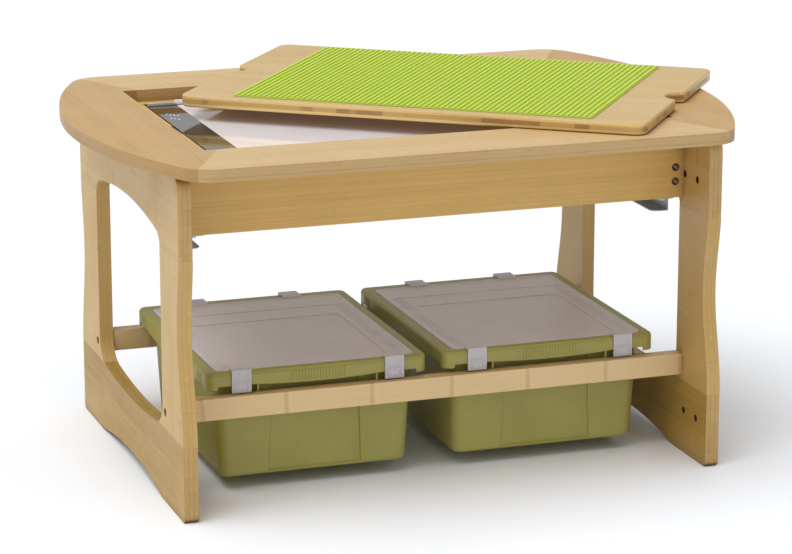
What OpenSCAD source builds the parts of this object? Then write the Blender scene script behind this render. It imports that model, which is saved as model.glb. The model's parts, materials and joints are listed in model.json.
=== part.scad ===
// Bamboo activity table: a ring top on two arched end frames, a lift-out light panel
// in the recess, a loose activity board with a stud plate, and two lidded storage tubs
// that hang by their rims on the two lower rails.
// Millimetres. +X along the table, -Y towards the front, +Z up, floor at z = 0.

/* [Tabletop] */
// Height of the top surface above the floor
top_h = 484; // [460:1:520]
// Overall length of the top, at the middle of its bowed ends
top_len = 910; // [890:1:940]
// Depth of the top, front edge to back edge
top_depth = 659; // [645:1:680]
// Thickness of the ring top
top_th = 17; // [15:1:18]
// Radius of the bowed ends
end_arc_r = 680; // [600:5:800]
// Radius of the four outer corners
corner_r = 50; // [35:1:60]
// Length of the recess in the ring
recess_len = 664; // [663:0.5:668]
// Depth of the recess in the ring
recess_depth = 424; // [423:0.5:428]
// How far each end piece returns along the recess's long sides
end_return = 21; // [15:1:30]
// Length of the front and back edges between the seams
seam_outer_len = 746; // [720:2:760]

/* [Ledges] */
// Thickness of the ledge strips under the ring
ledge_th = 20; // [18:1:22]
// Ledge that shows inside the recess at each end
ledge_show_end = 24; // [20:1:26]
// Ledge that shows inside the recess at front and back
ledge_show_side = 19; // [15:1:21]
// Ledge that is hidden under the ring
ledge_hidden = 20; // [16:1:22]
// Length of the finger notch in each end ledge
ledge_notch_len = 58; // [40:2:80]
// Depth of the finger notch in each end ledge
ledge_notch_depth = 16; // [10:1:20]

/* [End frames] */
// Distance between the inner faces of the two end frames
frame_span = 726; // [724:1:732]
// Thickness of an end frame
frame_th = 19.5; // [18:0.5:24]
// Half depth of an end frame at the foot
foot_half = 280; // [275:1:290]
// Half depth of an end frame at the waist of its legs
waist_half = 258; // [250:1:265]
// Half depth of an end frame under the top
head_half = 271; // [266:1:278]
// Half width of the opening between the legs
opening_half = 175; // [173:1:178]
// Height of the glue line between foot and legs
foot_h = 104; // [103:1:110]
// Height of the glue line between legs and crown
crown_seam = 352; // [350:1:358]
// Rounding of an end frame's upper corners
head_r = 24; // [16:1:28]
// Rise of the arch under the foot
foot_arch_rise = 16; // [8:1:24]
// Diameter of the accessory holes in the inner faces
accessory_hole_d = 10; // [8:0.5:12]
// Distance between the two accessory holes of a pair
accessory_pitch = 41; // [32:1:44]

/* [Aprons and rails] */
// Distance from the table's middle to an apron's outer face
apron_face = 185; // [184:1:186]
// Thickness of an apron
apron_th = 20; // [18:1:20]
// Height of an apron
apron_h = 83; // [75:1:85]
// Diameter of the barrel nuts in the aprons
barrel_d = 10; // [9:0.5:12]
// Distance from the table's middle to a lower rail's inner face
rail_inner = 178; // [177:0.5:179]
// Thickness of a lower rail
rail_th = 20; // [18:1:22]
// Height of a lower rail
rail_h = 30; // [24:1:31]
// Height of a lower rail's top above the floor
rail_top = 142; // [141:1:143]
// Sheet thickness of the steel storage rails
sheet_th = 1.5; // [1:0.1:2]
// Height of a steel storage rail
channel_h = 22; // [20:1:24]
// Width of a steel storage rail's flanges
channel_w = 25; // [20:1:28]

/* [Light panel] */
// Length of the light panel
panel_len = 606; // [600:1:608]
// Depth of the light panel
panel_depth = 376; // [370:1:378]
// Thickness of the light panel
panel_th = 18; // [17:0.5:19]
// Width of the control bar at the panel's left end
control_w = 40; // [36:1:44]

/* [Activity board] */
// Length of the activity board
board_len = 662; // [655:1:662]
// Depth of the activity board
board_depth = 422; // [415:1:422]
// Thickness of the activity board
board_th = 16; // [14:1:17]
// Corner radius of the activity board
board_r = 17; // [15:1:35]
// Turn of the board as it lies on the top
board_turn = -36.83; // [-45:0.01:-30]
// Place of the board's centre from the table's middle
board_at = [106, 48.4];
// Radius of the finger notches in the board's ends
board_notch_r = 29; // [20:1:35]
// Length of the stud plate
plate_len = 512; // [480:8:560]
// Depth of the stud plate
plate_depth = 392; // [352:8:400]
// Height of the stud plate with its studs
plate_th = 3.2; // [2:0.1:4]

/* [Tubs] */
// Distance between the two tubs' centres
tub_pitch = 336; // [330:1:345]
// Width of a tub over its rim
rim_w = 312; // [306:1:314]
// Depth of a tub over its rim
rim_d = 370; // [368:1:374]
// Height of a tub's rim top above the floor
rim_top = 172.5; // [170:0.5:178]
// Height of a tub's base above the floor
tub_base = 20; // [10:1:40]
// Width of a tub's body just under the rim
body_w = 283; // [276:1:284]
// Depth of a tub's body just under the rim
body_d = 331; // [326:1:333]
// Taper of a tub's body, total across the width
tub_taper = 16; // [6:1:20]
// Wall thickness of a tub
tub_wall = 2.5; // [2:0.1:3]
// Place of a tub's body and lid from the middle of its rim
mouth_y = -6.5; // [-7:0.5:-5]
// Width of a lid
lid_w = 281; // [280:0.5:286]
// Depth of a lid
lid_d = 340; // [337:0.5:341]
// Width of a clip
clip_w = 27; // [24:1:32]

/* [Hidden] */
$fn = 48;

// Colours
bamboo_light = [0.86, 0.73, 0.53];
bamboo_dark = [0.74, 0.58, 0.36];
nut_brown = [0.45, 0.22, 0.17];
steel_grey = [0.62, 0.63, 0.65];
tub_green = [0.55, 0.56, 0.26];
lid_lilac = [0.68, 0.64, 0.63, 0.8];
clip_pale = [0.72, 0.70, 0.64];
stud_green = [0.62, 0.78, 0.15];

// Heights and half sizes that follow from the driving dimensions
over = 1;                                   // overshoot of a cutting tool
under_top = top_h - top_th;                 // underside of the ring
panel_z = under_top - ledge_th;             // underside of the light panel, top of the aprons
apron_z = panel_z - apron_h;                // underside of the aprons
frame_in = frame_span / 2;                  // inner face of an end frame
frame_out = frame_in + frame_th;            // outer face of an end frame
half_len = top_len / 2;
half_depth = top_depth / 2;
rec_x = recess_len / 2;
rec_y = recess_depth / 2;
ledge_in_x = rec_x - ledge_show_end;        // inner edge of the end ledges
ledge_in_y = rec_y - ledge_show_side;       // inner edge of the side ledges

// The board as it lies reaches past the top, so the whole table is shifted to put the
// origin under the middle of everything.
board_reach_x = (board_len / 2 - board_r) * abs(cos(board_turn))
    + (board_depth / 2 - board_r) * abs(sin(board_turn)) + board_r;
board_reach_y = (board_len / 2 - board_r) * abs(sin(board_turn))
    + (board_depth / 2 - board_r) * abs(cos(board_turn)) + board_r;
shift_x = -(max(half_len, board_at[0] + board_reach_x) - half_len) / 2;
shift_y = -(max(half_depth, board_at[1] + board_reach_y) - half_depth) / 2;

// Fasteners
bolt_d = 6;                                 // shank of the frame bolts
bolt_head_d = 10.5;                         // socket head of the frame bolts
bolt_head_h = 5;
socket_d = 5.5;                             // hexagon socket of the frame bolts
socket_depth = 2.5;
counterbore_d = 12;
counterbore = 7;                            // depth of the bolt pockets in the frames
barrel_setback = 12;                        // from an apron's end to its barrel nuts
barrel_len = 16;
slot_w = 1.4;                               // screwdriver slot of a barrel nut
slot_depth = 1.2;
bolt_z = [387, 407];                        // heights of the apron bolts
screw_d = 4;
screw_head_d = 8;
screw_head_h = 3;
dowel_d = 8;
dowel_len = 24;
fixing_depth = 10;                          // how deep screws and dowels go into the ring
insert_d = 9;                               // threaded inserts in the lower rails
insert_len = 13;
insert_relief = 6;                          // room behind an insert for its bolt

module placed() translate([shift_x, shift_y, 0]) children();

// Points of an arc from a0 to a1, with both ends
function arc(cx, cy, r, a0, a1, n) =
    [for (i = [0 : n]) let (a = a0 + (a1 - a0) * i / n) [cx + r * cos(a), cy + r * sin(a)]];

// Points of an arc from a0 to a1, without its ends
function inner_arc(cx, cy, r, a0, a1, n) =
    [for (i = [1 : n - 1]) let (a = a0 + (a1 - a0) * i / n) [cx + r * cos(a), cy + r * sin(a)]];

function round_rect(w, d, r, n = 6) = concat(
    arc(w / 2 - r, d / 2 - r, r, 0, 90, n), arc(r - w / 2, d / 2 - r, r, 90, 180, n),
    arc(r - w / 2, r - d / 2, r, 180, 270, n), arc(w / 2 - r, r - d / 2, r, 270, 360, n));

// A block from corner to corner
module block(low, high) translate(low) cube([for (i = [0 : 2]) high[i] - low[i]]);

// ---- Tabletop ring ----

// Bowed ends of radius end_arc_r, blended to the straight sides by corner_r
arc_cx = half_len - end_arc_r;
fillet_y = half_depth - corner_r;
fillet_x = arc_cx + sqrt(pow(end_arc_r - corner_r, 2) - pow(fillet_y, 2));
fillet_a = atan2(fillet_y, fillet_x - arc_cx);
right_end_points = concat(
    arc(fillet_x, -fillet_y, corner_r, -90, -fillet_a, 10),
    inner_arc(arc_cx, 0, end_arc_r, -fillet_a, fillet_a, 32),
    arc(fillet_x, fillet_y, corner_r, fillet_a, 90, 10));

module top_outline() polygon(concat(right_end_points, [for (p = right_end_points) -p]));

// Wedge of the ring that the front rail takes, with slanted glue lines
module seam_wedge() polygon([
    [rec_x - end_return, -rec_y + over], [end_return - rec_x, -rec_y + over],
    [end_return - rec_x, -rec_y], [-seam_outer_len / 2, -half_depth],
    [-seam_outer_len / 2, -half_depth - over], [seam_outer_len / 2, -half_depth - over],
    [seam_outer_len / 2, -half_depth], [rec_x - end_return, -rec_y]]);

module ring_2d() difference() {
    top_outline();
    square([recess_len, recess_depth], center = true);
}

// Holes in the underside of the ring for the screws and dowels
module top_fixings() {
    for (p = ledge_screw_at)
        translate([p[0], p[1], under_top - over]) cylinder(d = screw_d, h = fixing_depth + over);
    for (p = dowel_at)
        translate([p[0], p[1], under_top - over]) cylinder(d = dowel_d, h = fixing_depth + over);
}

ledge_mid_x = rec_x + ledge_hidden / 2;
ledge_mid_y = rec_y + ledge_hidden / 2;
ledge_screw_at = concat(
    [for (x = [-250, 0, 250], s = [-1, 1]) [x, s * ledge_mid_y]],
    [for (s = [-1, 1], y = [-120, 120]) [s * ledge_mid_x, y]]);
dowel_at = [for (s = [-1, 1], y = [-235, -90, 90, 235]) [s * (frame_in + frame_th / 2), y]];

module top_front_rail() color(bamboo_light) placed() difference() {
    translate([0, 0, under_top]) linear_extrude(top_th) intersection() {
        ring_2d();
        seam_wedge();
    }
    top_fixings();
}

module top_back_rail() color(bamboo_light) placed() difference() {
    translate([0, 0, under_top]) linear_extrude(top_th) intersection() {
        ring_2d();
        mirror([0, 1]) seam_wedge();
    }
    top_fixings();
}

module top_end() difference() {
    translate([0, 0, under_top]) linear_extrude(top_th) difference() {
        intersection() {
            ring_2d();
            translate([0, -half_depth - over]) square([half_len + over, top_depth + 2 * over]);
        }
        seam_wedge();
        mirror([0, 1]) seam_wedge();
    }
    top_fixings();
}

module top_left_end() color(bamboo_light) placed() mirror([1, 0, 0]) top_end();
module top_right_end() color(bamboo_light) placed() top_end();

// ---- Ledge strips under the ring ----

module ledge_side(s) difference() {
    translate([0, s * (ledge_in_y + (ledge_show_side + ledge_hidden) / 2), panel_z + ledge_th / 2])
        cube([2 * (rec_x + ledge_hidden), ledge_show_side + ledge_hidden, ledge_th], center = true);
    ledge_screw_holes();
}

module ledge_end(s) difference() {
    translate([s * (ledge_in_x + (ledge_show_end + ledge_hidden) / 2), 0, panel_z + ledge_th / 2])
        cube([ledge_show_end + ledge_hidden, 2 * ledge_in_y, ledge_th], center = true);
    translate([s * ledge_in_x, 0, panel_z - over]) linear_extrude(ledge_th + 2 * over)
        polygon(round_rect(2 * ledge_notch_depth, ledge_notch_len, ledge_notch_depth - 1));
    ledge_screw_holes();
}

module ledge_screw_holes() for (p = ledge_screw_at) translate([p[0], p[1], panel_z - over]) {
    cylinder(d = screw_d, h = ledge_th + 2 * over);
    cylinder(d = screw_head_d, h = screw_head_h + over);
}

module ledge_front() color(bamboo_dark) placed() ledge_side(-1);
module ledge_back() color(bamboo_dark) placed() ledge_side(1);
module ledge_left() color(bamboo_dark) placed() ledge_end(-1);
module ledge_right() color(bamboo_dark) placed() ledge_end(1);

module ledge_screws() color(steel_grey) placed() for (p = ledge_screw_at)
    translate([p[0], p[1], panel_z]) {
        cylinder(d = screw_head_d, h = screw_head_h);
        cylinder(d = screw_d, h = ledge_th + fixing_depth);
    }

module top_dowels() color(bamboo_light) placed() for (p = dowel_at)
    translate([p[0], p[1], under_top + fixing_depth - dowel_len]) cylinder(d = dowel_d, h = dowel_len);

// ---- End frames ----
// Drawn flat with u along the table's depth and v up, then stood up and extruded along X.

foot_edge_v = 105;                          // height where the foot's straight edge ends
waist_v = 250;                              // height of the narrowest point
head_v = 370;                               // height where the head's straight edge starts
foot_r = 7;                                 // rounding of the foot's lower corners
pad_in = 170;                               // inner end of each foot pad
sill_v = 94;                                // lowest point of the opening
sill_r = 1250;                              // radius of the opening's sill
sill_fillet = 36;
crown_v = 383;                              // highest point of the opening
crown_r = 900;                              // radius of the crown's arch
crown_fillet = 22;

// Half depth of the frame along a smooth step from h0 to h1
function ease(h0, h1, t) = h0 + (h1 - h0) * (1 - cos(180 * t)) / 2;

function edge_curve(v0, v1, h0, h1, n) =
    [for (i = [1 : n]) [ease(h0, h1, i / n), v0 + (v1 - v0) * i / n]];

frame_edge = concat(
    arc(foot_half - foot_r, foot_r, foot_r, -90, 0, 4),
    [[foot_half, foot_edge_v]],
    edge_curve(foot_edge_v, waist_v, foot_half, waist_half, 14),
    edge_curve(waist_v, head_v, waist_half, head_half, 12),
    arc(head_half - head_r, under_top - head_r, head_r, 0, 90, 6));

arch_r = (pow(pad_in, 2) + pow(foot_arch_rise, 2)) / (2 * foot_arch_rise);
arch_a = asin(pad_in / arch_r);
foot_arch = arc(0, foot_arch_rise - arch_r, arch_r, 90 + arch_a, 90 - arch_a, 24);

module frame_outline() polygon(concat(
    foot_arch, frame_edge,
    [for (i = [len(frame_edge) - 1 : -1 : 0]) [-frame_edge[i][0], frame_edge[i][1]]]));

// Centre heights of the fillets that blend the legs with the sill and the crown
sill_cv = sill_v + sill_r - sqrt(pow(sill_r - sill_fillet, 2) - pow(opening_half - sill_fillet, 2));
sill_a = asin((opening_half - sill_fillet) / (sill_r - sill_fillet));
crown_cv = crown_v - crown_r
    + sqrt(pow(crown_r - crown_fillet, 2) - pow(opening_half - crown_fillet, 2));
crown_a = asin((opening_half - crown_fillet) / (crown_r - crown_fillet));

module frame_opening() polygon(concat(
    inner_arc(0, sill_v + sill_r, sill_r, 270 - sill_a, 270 + sill_a, 20),
    arc(opening_half - sill_fillet, sill_cv, sill_fillet, -90 + sill_a, 0, 10),
    arc(opening_half - crown_fillet, crown_cv, crown_fillet, 0, 90 - crown_a, 8),
    inner_arc(0, crown_v - crown_r, crown_r, 90 - crown_a, 90 + crown_a, 20),
    arc(crown_fillet - opening_half, crown_cv, crown_fillet, 90 + crown_a, 180, 8),
    arc(sill_fillet - opening_half, sill_cv, sill_fillet, 180, 270 - sill_a, 10)));

module stand_up(s) translate([s > 0 ? frame_in : -frame_out, 0, 0])
    rotate([90, 0, 90]) linear_extrude(frame_th) children();

module frame_shape() difference() {
    frame_outline();
    frame_opening();
}

// Cylinder along X from x0 to x1
module rod(x0, x1, y, z, d) translate([min(x0, x1), y, z]) rotate([0, 90, 0])
    cylinder(d = d, h = abs(x1 - x0));

rail_y = rail_inner + rail_th / 2;          // middle line of a lower rail
rail_bolt_z = rail_top - rail_h / 2;
apron_y = apron_face - apron_th / 2;        // middle line of an apron
upper_hole = [190.5, 398];                  // inner accessory hole near the apron
lower_hole = [204, 61];                     // inner accessory hole in the foot
accessory_depth = 12;

// Pairs of blind holes in the inner face, first is the place of the hole nearer the middle
module accessory_holes(s, first) for (m = [-1, 1], i = [0, 1])
    rod(s * (frame_in - over), s * (frame_in + accessory_depth),
        m * (first[0] + i * accessory_pitch), first[1], accessory_hole_d);

module bolt_hole(s, y, z) {
    rod(s * (frame_in - over), s * (frame_out + over), y, z, bolt_d);
    rod(s * (frame_out - counterbore), s * (frame_out + over), y, z, counterbore_d);
}

// s is the end of the table, f is -1 at the front and 1 at the back
module leg(s, f) difference() {
    stand_up(s) intersection() {
        frame_shape();
        translate([f > 0 ? 0 : -foot_half - over, foot_h])
            square([foot_half + over, crown_seam - foot_h]);
    }
    bolt_hole(s, f * rail_y, rail_bolt_z);
}

module foot(s) difference() {
    stand_up(s) intersection() {
        frame_shape();
        translate([-foot_half - over, -over]) square([2 * (foot_half + over), foot_h + over]);
    }
    accessory_holes(s, lower_hole);
}

module crown(s) difference() {
    stand_up(s) intersection() {
        frame_shape();
        translate([-foot_half - over, crown_seam]) square([2 * (foot_half + over), top_h]);
    }
    accessory_holes(s, upper_hole);
    for (m = [-1, 1], z = bolt_z) bolt_hole(s, m * apron_y, z);
    for (p = dowel_at)
        translate([p[0], p[1], under_top + fixing_depth - dowel_len])
            cylinder(d = dowel_d, h = dowel_len);
}

module leg_front_left() color(bamboo_light) placed() leg(-1, -1);
module leg_rear_left() color(bamboo_light) placed() leg(-1, 1);
module leg_front_right() color(bamboo_light) placed() leg(1, -1);
module leg_rear_right() color(bamboo_light) placed() leg(1, 1);
module foot_left() color(bamboo_dark) placed() foot(-1);
module foot_right() color(bamboo_dark) placed() foot(1);
module crown_left() color(bamboo_light) placed() crown(-1);
module crown_right() color(bamboo_light) placed() crown(1);

// ---- Aprons, barrel nuts and bolts ----

bolt_end = frame_in - barrel_setback - barrel_d / 2;   // inner end of an apron bolt

module barrel(m, s, z, d) translate([s * (frame_in - barrel_setback), m * apron_face, z])
    rotate([90 * m, 0, 0]) cylinder(d = d, h = barrel_len);

module apron(m) difference() {
    translate([-frame_in, m * apron_y - apron_th / 2, apron_z]) cube([frame_span, apron_th, apron_h]);
    for (s = [-1, 1]) {
        for (z = bolt_z) {
            barrel(m, s, z, barrel_d);
            rod(s * bolt_end, s * (frame_in + over), m * apron_y, z, bolt_d);
        }
        translate([s * channel_screw_x, m * apron_y, apron_z - over])
            cylinder(d = screw_d, h = pilot_depth + over);
    }
}

module apron_front() color(bamboo_dark) placed() apron(-1);
module apron_back() color(bamboo_dark) placed() apron(1);

module apron_barrel_nuts() color(nut_brown) placed()
    for (m = [-1, 1], s = [-1, 1], z = bolt_z) difference() {
        barrel(m, s, z, barrel_d);
        rod(s * (bolt_end - over), s * (frame_in + over), m * apron_y, z, bolt_d);
        translate([s * (frame_in - barrel_setback), m * apron_face, z])
            cube([slot_w, 2 * slot_depth, barrel_d + over], center = true);
    }

module socket_bolt(s, y, z, inner_x) difference() {
    union() {
        rod(s * inner_x, s * (frame_out - counterbore), y, z, bolt_d);
        rod(s * (frame_out - counterbore), s * (frame_out - counterbore + bolt_head_h), y, z,
            bolt_head_d);
    }
    translate([s * (frame_out - counterbore + bolt_head_h), y, z]) rotate([0, 90, 0])
        cylinder(d = socket_d, h = 2 * socket_depth, center = true, $fn = 6);
}

module apron_bolts() color(steel_grey) placed()
    for (m = [-1, 1], s = [-1, 1], z = bolt_z) socket_bolt(s, m * apron_y, z, bolt_end);

module apron_bolt_plugs() color(bamboo_light) placed()
    for (m = [-1, 1], s = [-1, 1], z = bolt_z)
        rod(s * (frame_out - counterbore + bolt_head_h), s * frame_out, m * apron_y, z,
            counterbore_d);

// ---- Lower rails ----

module lower_rail(m) difference() {
    translate([-frame_in, m * rail_y - rail_th / 2, rail_top - rail_h])
        cube([frame_span, rail_th, rail_h]);
    for (s = [-1, 1])
        rod(s * (frame_in - insert_len - insert_relief), s * (frame_in + over), m * rail_y, rail_bolt_z,
            insert_d);
}

module lower_rail_front() color(bamboo_light) placed() lower_rail(-1);
module lower_rail_back() color(bamboo_light) placed() lower_rail(1);

module lower_rail_bolts() color(steel_grey) placed()
    for (m = [-1, 1], s = [-1, 1])
        socket_bolt(s, m * rail_y, rail_bolt_z, frame_in - insert_len);

module lower_rail_inserts() color([0.75, 0.62, 0.35]) placed()
    for (m = [-1, 1], s = [-1, 1]) difference() {
        rod(s * (frame_in - insert_len), s * frame_in, m * rail_y, rail_bolt_z, insert_d);
        rod(s * (frame_in - insert_len - over), s * (frame_in + over), m * rail_y, rail_bolt_z,
            bolt_d);
    }

// ---- Steel storage rails: a strap from apron to apron with a short channel at the front ----

channel_x = 349;                            // back of the web
channel_screw_x = channel_x - channel_w / 2;
channel_top_half = 183;                     // half length of the strap, which is the top flange
channel_low_y = [-168, -42];                // front and back end of the web and bottom flange
channel_low_len = channel_low_y[1] - channel_low_y[0];
channel_r = 10;                             // rounded corners of the bottom flange
pilot_depth = 15;                           // how deep the screws go into the aprons

module storage_rail(s) {
    low = apron_z - channel_h;
    difference() {
        block([-channel_w / 2, -channel_top_half, apron_z - sheet_th],
            [channel_w / 2, channel_top_half, apron_z]);
        for (m = [-1, 1]) translate([0, m * apron_y, low]) cylinder(d = screw_d, h = channel_h + 1);
    }
    block([s > 0 ? channel_w / 2 - sheet_th : -channel_w / 2, channel_low_y[0], low],
        [s > 0 ? channel_w / 2 : sheet_th - channel_w / 2, channel_low_y[1], apron_z]);
    translate([0, channel_low_y[0] + channel_low_len / 2, low]) linear_extrude(sheet_th) union() {
        polygon(round_rect(channel_w, channel_low_len, channel_r));
        translate([s > 0 ? 0 : -channel_w / 2, -channel_low_len / 2])
            square([channel_w / 2, channel_low_len]);
    }
}

module storage_rail_left() color(steel_grey) placed()
    translate([-channel_screw_x, 0, 0]) storage_rail(-1);
module storage_rail_right() color(steel_grey) placed()
    translate([channel_screw_x, 0, 0]) storage_rail(1);

module storage_rail_screws() color(steel_grey) placed()
    for (m = [-1, 1], s = [-1, 1]) translate([s * channel_screw_x, m * apron_y, apron_z]) {
        translate([0, 0, -sheet_th - screw_head_h]) cylinder(d = screw_head_d, h = screw_head_h);
        translate([0, 0, -sheet_th - over]) cylinder(d = screw_d, h = pilot_depth + sheet_th + over);
    }

// ---- Light panel ----

px = panel_len / 2;
py = panel_depth / 2;
panel_top = panel_z + panel_th;
case_wall = 2.5;
case_floor = 2;
cover_th = 3;                               // diffuser and control bar
guide_th = 6;
strip_w = 5;                                // aluminium strip along the back edge
strip_rise = 4;                             // how far the strip stands above the diffuser
cover_gap = 0.3;
bar_x = -px + case_wall + control_w;        // where the control bar meets the diffuser
step_w = 4.5;                               // step that carries the diffuser
cover_y = py - strip_w - cover_gap;         // back edge of diffuser and control bar
well_x = px - case_wall - step_w;
well_y = py - case_wall - step_w;
well_z = panel_z + case_floor;
led_w = 3;
reflector_th = 0.5;
guide_z = well_z + reflector_th;
guide_gap = 0.5;
touch_y = [-60, 90];                        // where the touch board starts and ends
touch_th = 1.6;
lead_x = [-262, -247];                      // sides of the power lead's plug
lead_low = 8;                               // plug's underside above the panel's underside
lead_rise = 5.5;                            // plug's top above the diffuser
inlet_at = [-280, 140];
inlet_d = 11;
inlet_len = 10;
inlet_flange_d = 15;
inlet_flange_th = 3;
inlet_bore_d = 5.6;
inlet_bore_len = 8;

module light_housing() color([0.9, 0.9, 0.88]) placed() difference() {
    block([-px, -py, panel_z], [px, py, panel_top]);
    // seat of the diffuser and the control bar
    block([-px - over, -py + case_wall, panel_top - cover_th],
        [px + over, py - strip_w, panel_top + over]);
    // rebate of the aluminium strip
    block([-px - over, py - strip_w, panel_top - cover_th], [px + over, py + over, panel_top + over]);
    // well of the light guide
    block([bar_x + step_w, -well_y, well_z], [well_x, well_y, panel_top]);
    // well of the touch board
    block([-well_x, -well_y, well_z], [bar_x - step_w, well_y, panel_top]);
    translate([inlet_at[0], inlet_at[1], panel_z - over])
        cylinder(d = inlet_d, h = case_floor + 2 * over);
}

module light_reflector() color("white") placed()
    block([bar_x + step_w, -well_y, well_z], [well_x, well_y, guide_z]);

module light_guide() color([0.8, 0.9, 0.95, 0.6]) placed()
    block([bar_x + step_w + guide_gap, guide_gap - well_y, guide_z],
        [well_x - guide_gap, well_y - led_w - guide_gap, guide_z + guide_th]);

module light_diffuser() color([0.95, 0.95, 0.97]) placed()
    block([bar_x, -py + case_wall, panel_top - cover_th], [px, cover_y, panel_top]);

module light_control_bar() color([0.15, 0.12, 0.1]) placed()
    block([-px, -py + case_wall, panel_top - cover_th], [bar_x, cover_y, panel_top]);

module light_edge_strip() color("silver") placed()
    block([-px, py - strip_w, panel_top - cover_th], [px, py, panel_top + strip_rise]);

module led_strip() color([0.95, 0.9, 0.6]) placed()
    block([bar_x + step_w + 2, well_y - led_w, guide_z], [well_x - 2, well_y, guide_z + guide_th]);

module touch_board() color([0.1, 0.35, 0.2]) placed()
    block([1 - well_x, touch_y[0], panel_top - cover_th - touch_th],
        [bar_x - step_w - 1, touch_y[1], panel_top - cover_th]);

module lead_block() color("white") placed()
    block([lead_x[0], py, panel_z + lead_low],
        [lead_x[1], ledge_in_y - cover_gap, panel_top + lead_rise]);

module dc_inlet() color([0.12, 0.12, 0.12]) placed() translate([inlet_at[0], inlet_at[1], panel_z])
    difference() {
        union() {
            translate([0, 0, -inlet_flange_th]) cylinder(d = inlet_flange_d, h = inlet_flange_th);
            translate([0, 0, -over]) cylinder(d = inlet_d, h = inlet_len + over);
        }
        translate([0, 0, -inlet_flange_th - over])
            cylinder(d = inlet_bore_d, h = inlet_flange_th + over + inlet_bore_len);
    }

// ---- Activity board and stud plate ----

module on_board() placed() translate([board_at[0], board_at[1], top_h]) rotate([0, 0, board_turn])
    children();

notch_depth = 20.5;                         // depth of a finger notch

module activity_board() color(bamboo_light) on_board() difference() {
    linear_extrude(board_th) polygon(round_rect(board_len, board_depth, board_r, 12));
    for (s = [-1, 1]) translate([s * (board_len / 2 - notch_depth + board_notch_r), 0, -over])
        cylinder(r = board_notch_r, h = board_th + 2 * over);
}

module stud_plate() color(stud_green) on_board() translate([0, 0, board_th])
    linear_extrude(plate_th) square([plate_len, plate_depth], center = true);

// ---- Tubs ----
// Each is drawn about its own centre line.

skirt_h = 19.5;                             // height of the skirt below the rim's top
skirt_th = 2.5;
tab_drop = 5;                               // how far the corner tabs hang below the skirt
tab_len = 16;
rim_r = 12;
shoulder = 5;                               // rounded shoulder of the rim
mouth_r = 10;                               // corner radius of the lid
body_r = [16, 15];                          // corner radius of the body at its base and mouth
seat_drop = 2.2;                            // depth of the lid's seat below the rim's top
flange_th = 2.5;
seat_z = rim_top - seat_drop;
skirt_low = rim_top - skirt_h;
rib_x = 84;                                 // resting ribs from the tub's centre line
rib_th = 2.5;
rib_bite = 1.8;                             // how far a rib reaches into the body's wall
face_bow = [95, 3.5];                       // half length and drop of the front skirt's bow
side_bow = [150, 8.5];                      // half length and drop of a side skirt's bow
fit_gap = 0.5;

module slab(w, d, r, z, t) translate([0, 0, z]) linear_extrude(t) polygon(round_rect(w, d, r));

module tub_body(inset, base) translate([0, mouth_y, 0]) hull() {
    slab(body_w - tub_taper - 2 * inset, body_d - tub_taper / 2 - 2 * inset, body_r[0] - inset, base, 1);
    slab(body_w - 2 * inset, body_d - 2 * inset, body_r[1] - inset, rim_top + inset, 1);
}

// Part of a skirt below its straight edge, bowed down in the middle
module skirt_bow(bow) rotate([90, 0, 0]) linear_extrude(skirt_th) polygon(concat(
    [[bow[0], skirt_low + fit_gap], [-bow[0], skirt_low + fit_gap]],
    [for (i = [0 : 12]) let (t = i / 6 - 1)
        [t * bow[0], skirt_low - bow[1] * (1 - t * t)]]));

module skirt_ring(z0, z1) difference() {
    slab(rim_w, rim_d, rim_r, z0, z1 - z0);
    slab(rim_w - 2 * skirt_th, rim_d - 2 * skirt_th, rim_r - skirt_th, z0 - over, z1 - z0 + 2 * over);
}

// Ribs between the body and the skirt that stand on the lower rails
module resting_ribs() for (s = [-1, 1]) {
    block([s * rib_x - rib_th / 2, over - rim_d / 2, rail_top],
        [s * rib_x + rib_th / 2, mouth_y - body_d / 2 + rib_bite, seat_z - over]);
    block([s * rib_x - rib_th / 2, mouth_y + body_d / 2 - rib_bite, rail_top],
        [s * rib_x + rib_th / 2, rim_d / 2 - over, seat_z - over]);
}

module tub() difference() {
    union() {
        intersection() {
            tub_body(0, tub_base);
            block([-rim_w, -rim_d, 0], [rim_w, rim_d, seat_z]);
        }
        // rim with its shoulder, and the flange that carries the lid
        difference() {
            hull() {
                slab(rim_w, rim_d, rim_r, seat_z - flange_th, fit_gap);
                slab(rim_w - 2 * shoulder, rim_d - 2 * shoulder, rim_r - shoulder,
                    rim_top - fit_gap, fit_gap);
            }
            translate([0, mouth_y, 0])
                slab(lid_w + 2 * fit_gap, lid_d + 2 * fit_gap, mouth_r + fit_gap, seat_z,
                    seat_drop + over);
        }
        skirt_ring(skirt_low, seat_z - flange_th);
        intersection() {
            skirt_ring(skirt_low - tab_drop, skirt_low);
            for (a = [-1, 1], b = [-1, 1])
                translate([a * rim_w / 2, b * rim_d / 2, skirt_low])
                    cube([2 * tab_len, 2 * tab_len, 2 * tab_drop], center = true);
        }
        for (m = [-1, 1]) {
            translate([0, m > 0 ? rim_d / 2 : skirt_th - rim_d / 2, 0]) skirt_bow(face_bow);
            translate([m > 0 ? rim_w / 2 - skirt_th : -rim_w / 2, 0, 0]) rotate([0, 0, 90])
                skirt_bow(side_bow);
        }
        resting_ribs();
    }
    tub_body(tub_wall, tub_base + tub_wall);
}

module tub_left() color(tub_green) placed() translate([-tub_pitch / 2, 0, 0]) tub();
module tub_right() color(tub_green) placed() translate([tub_pitch / 2, 0, 0]) tub();

// ---- Lids and clips ----

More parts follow.
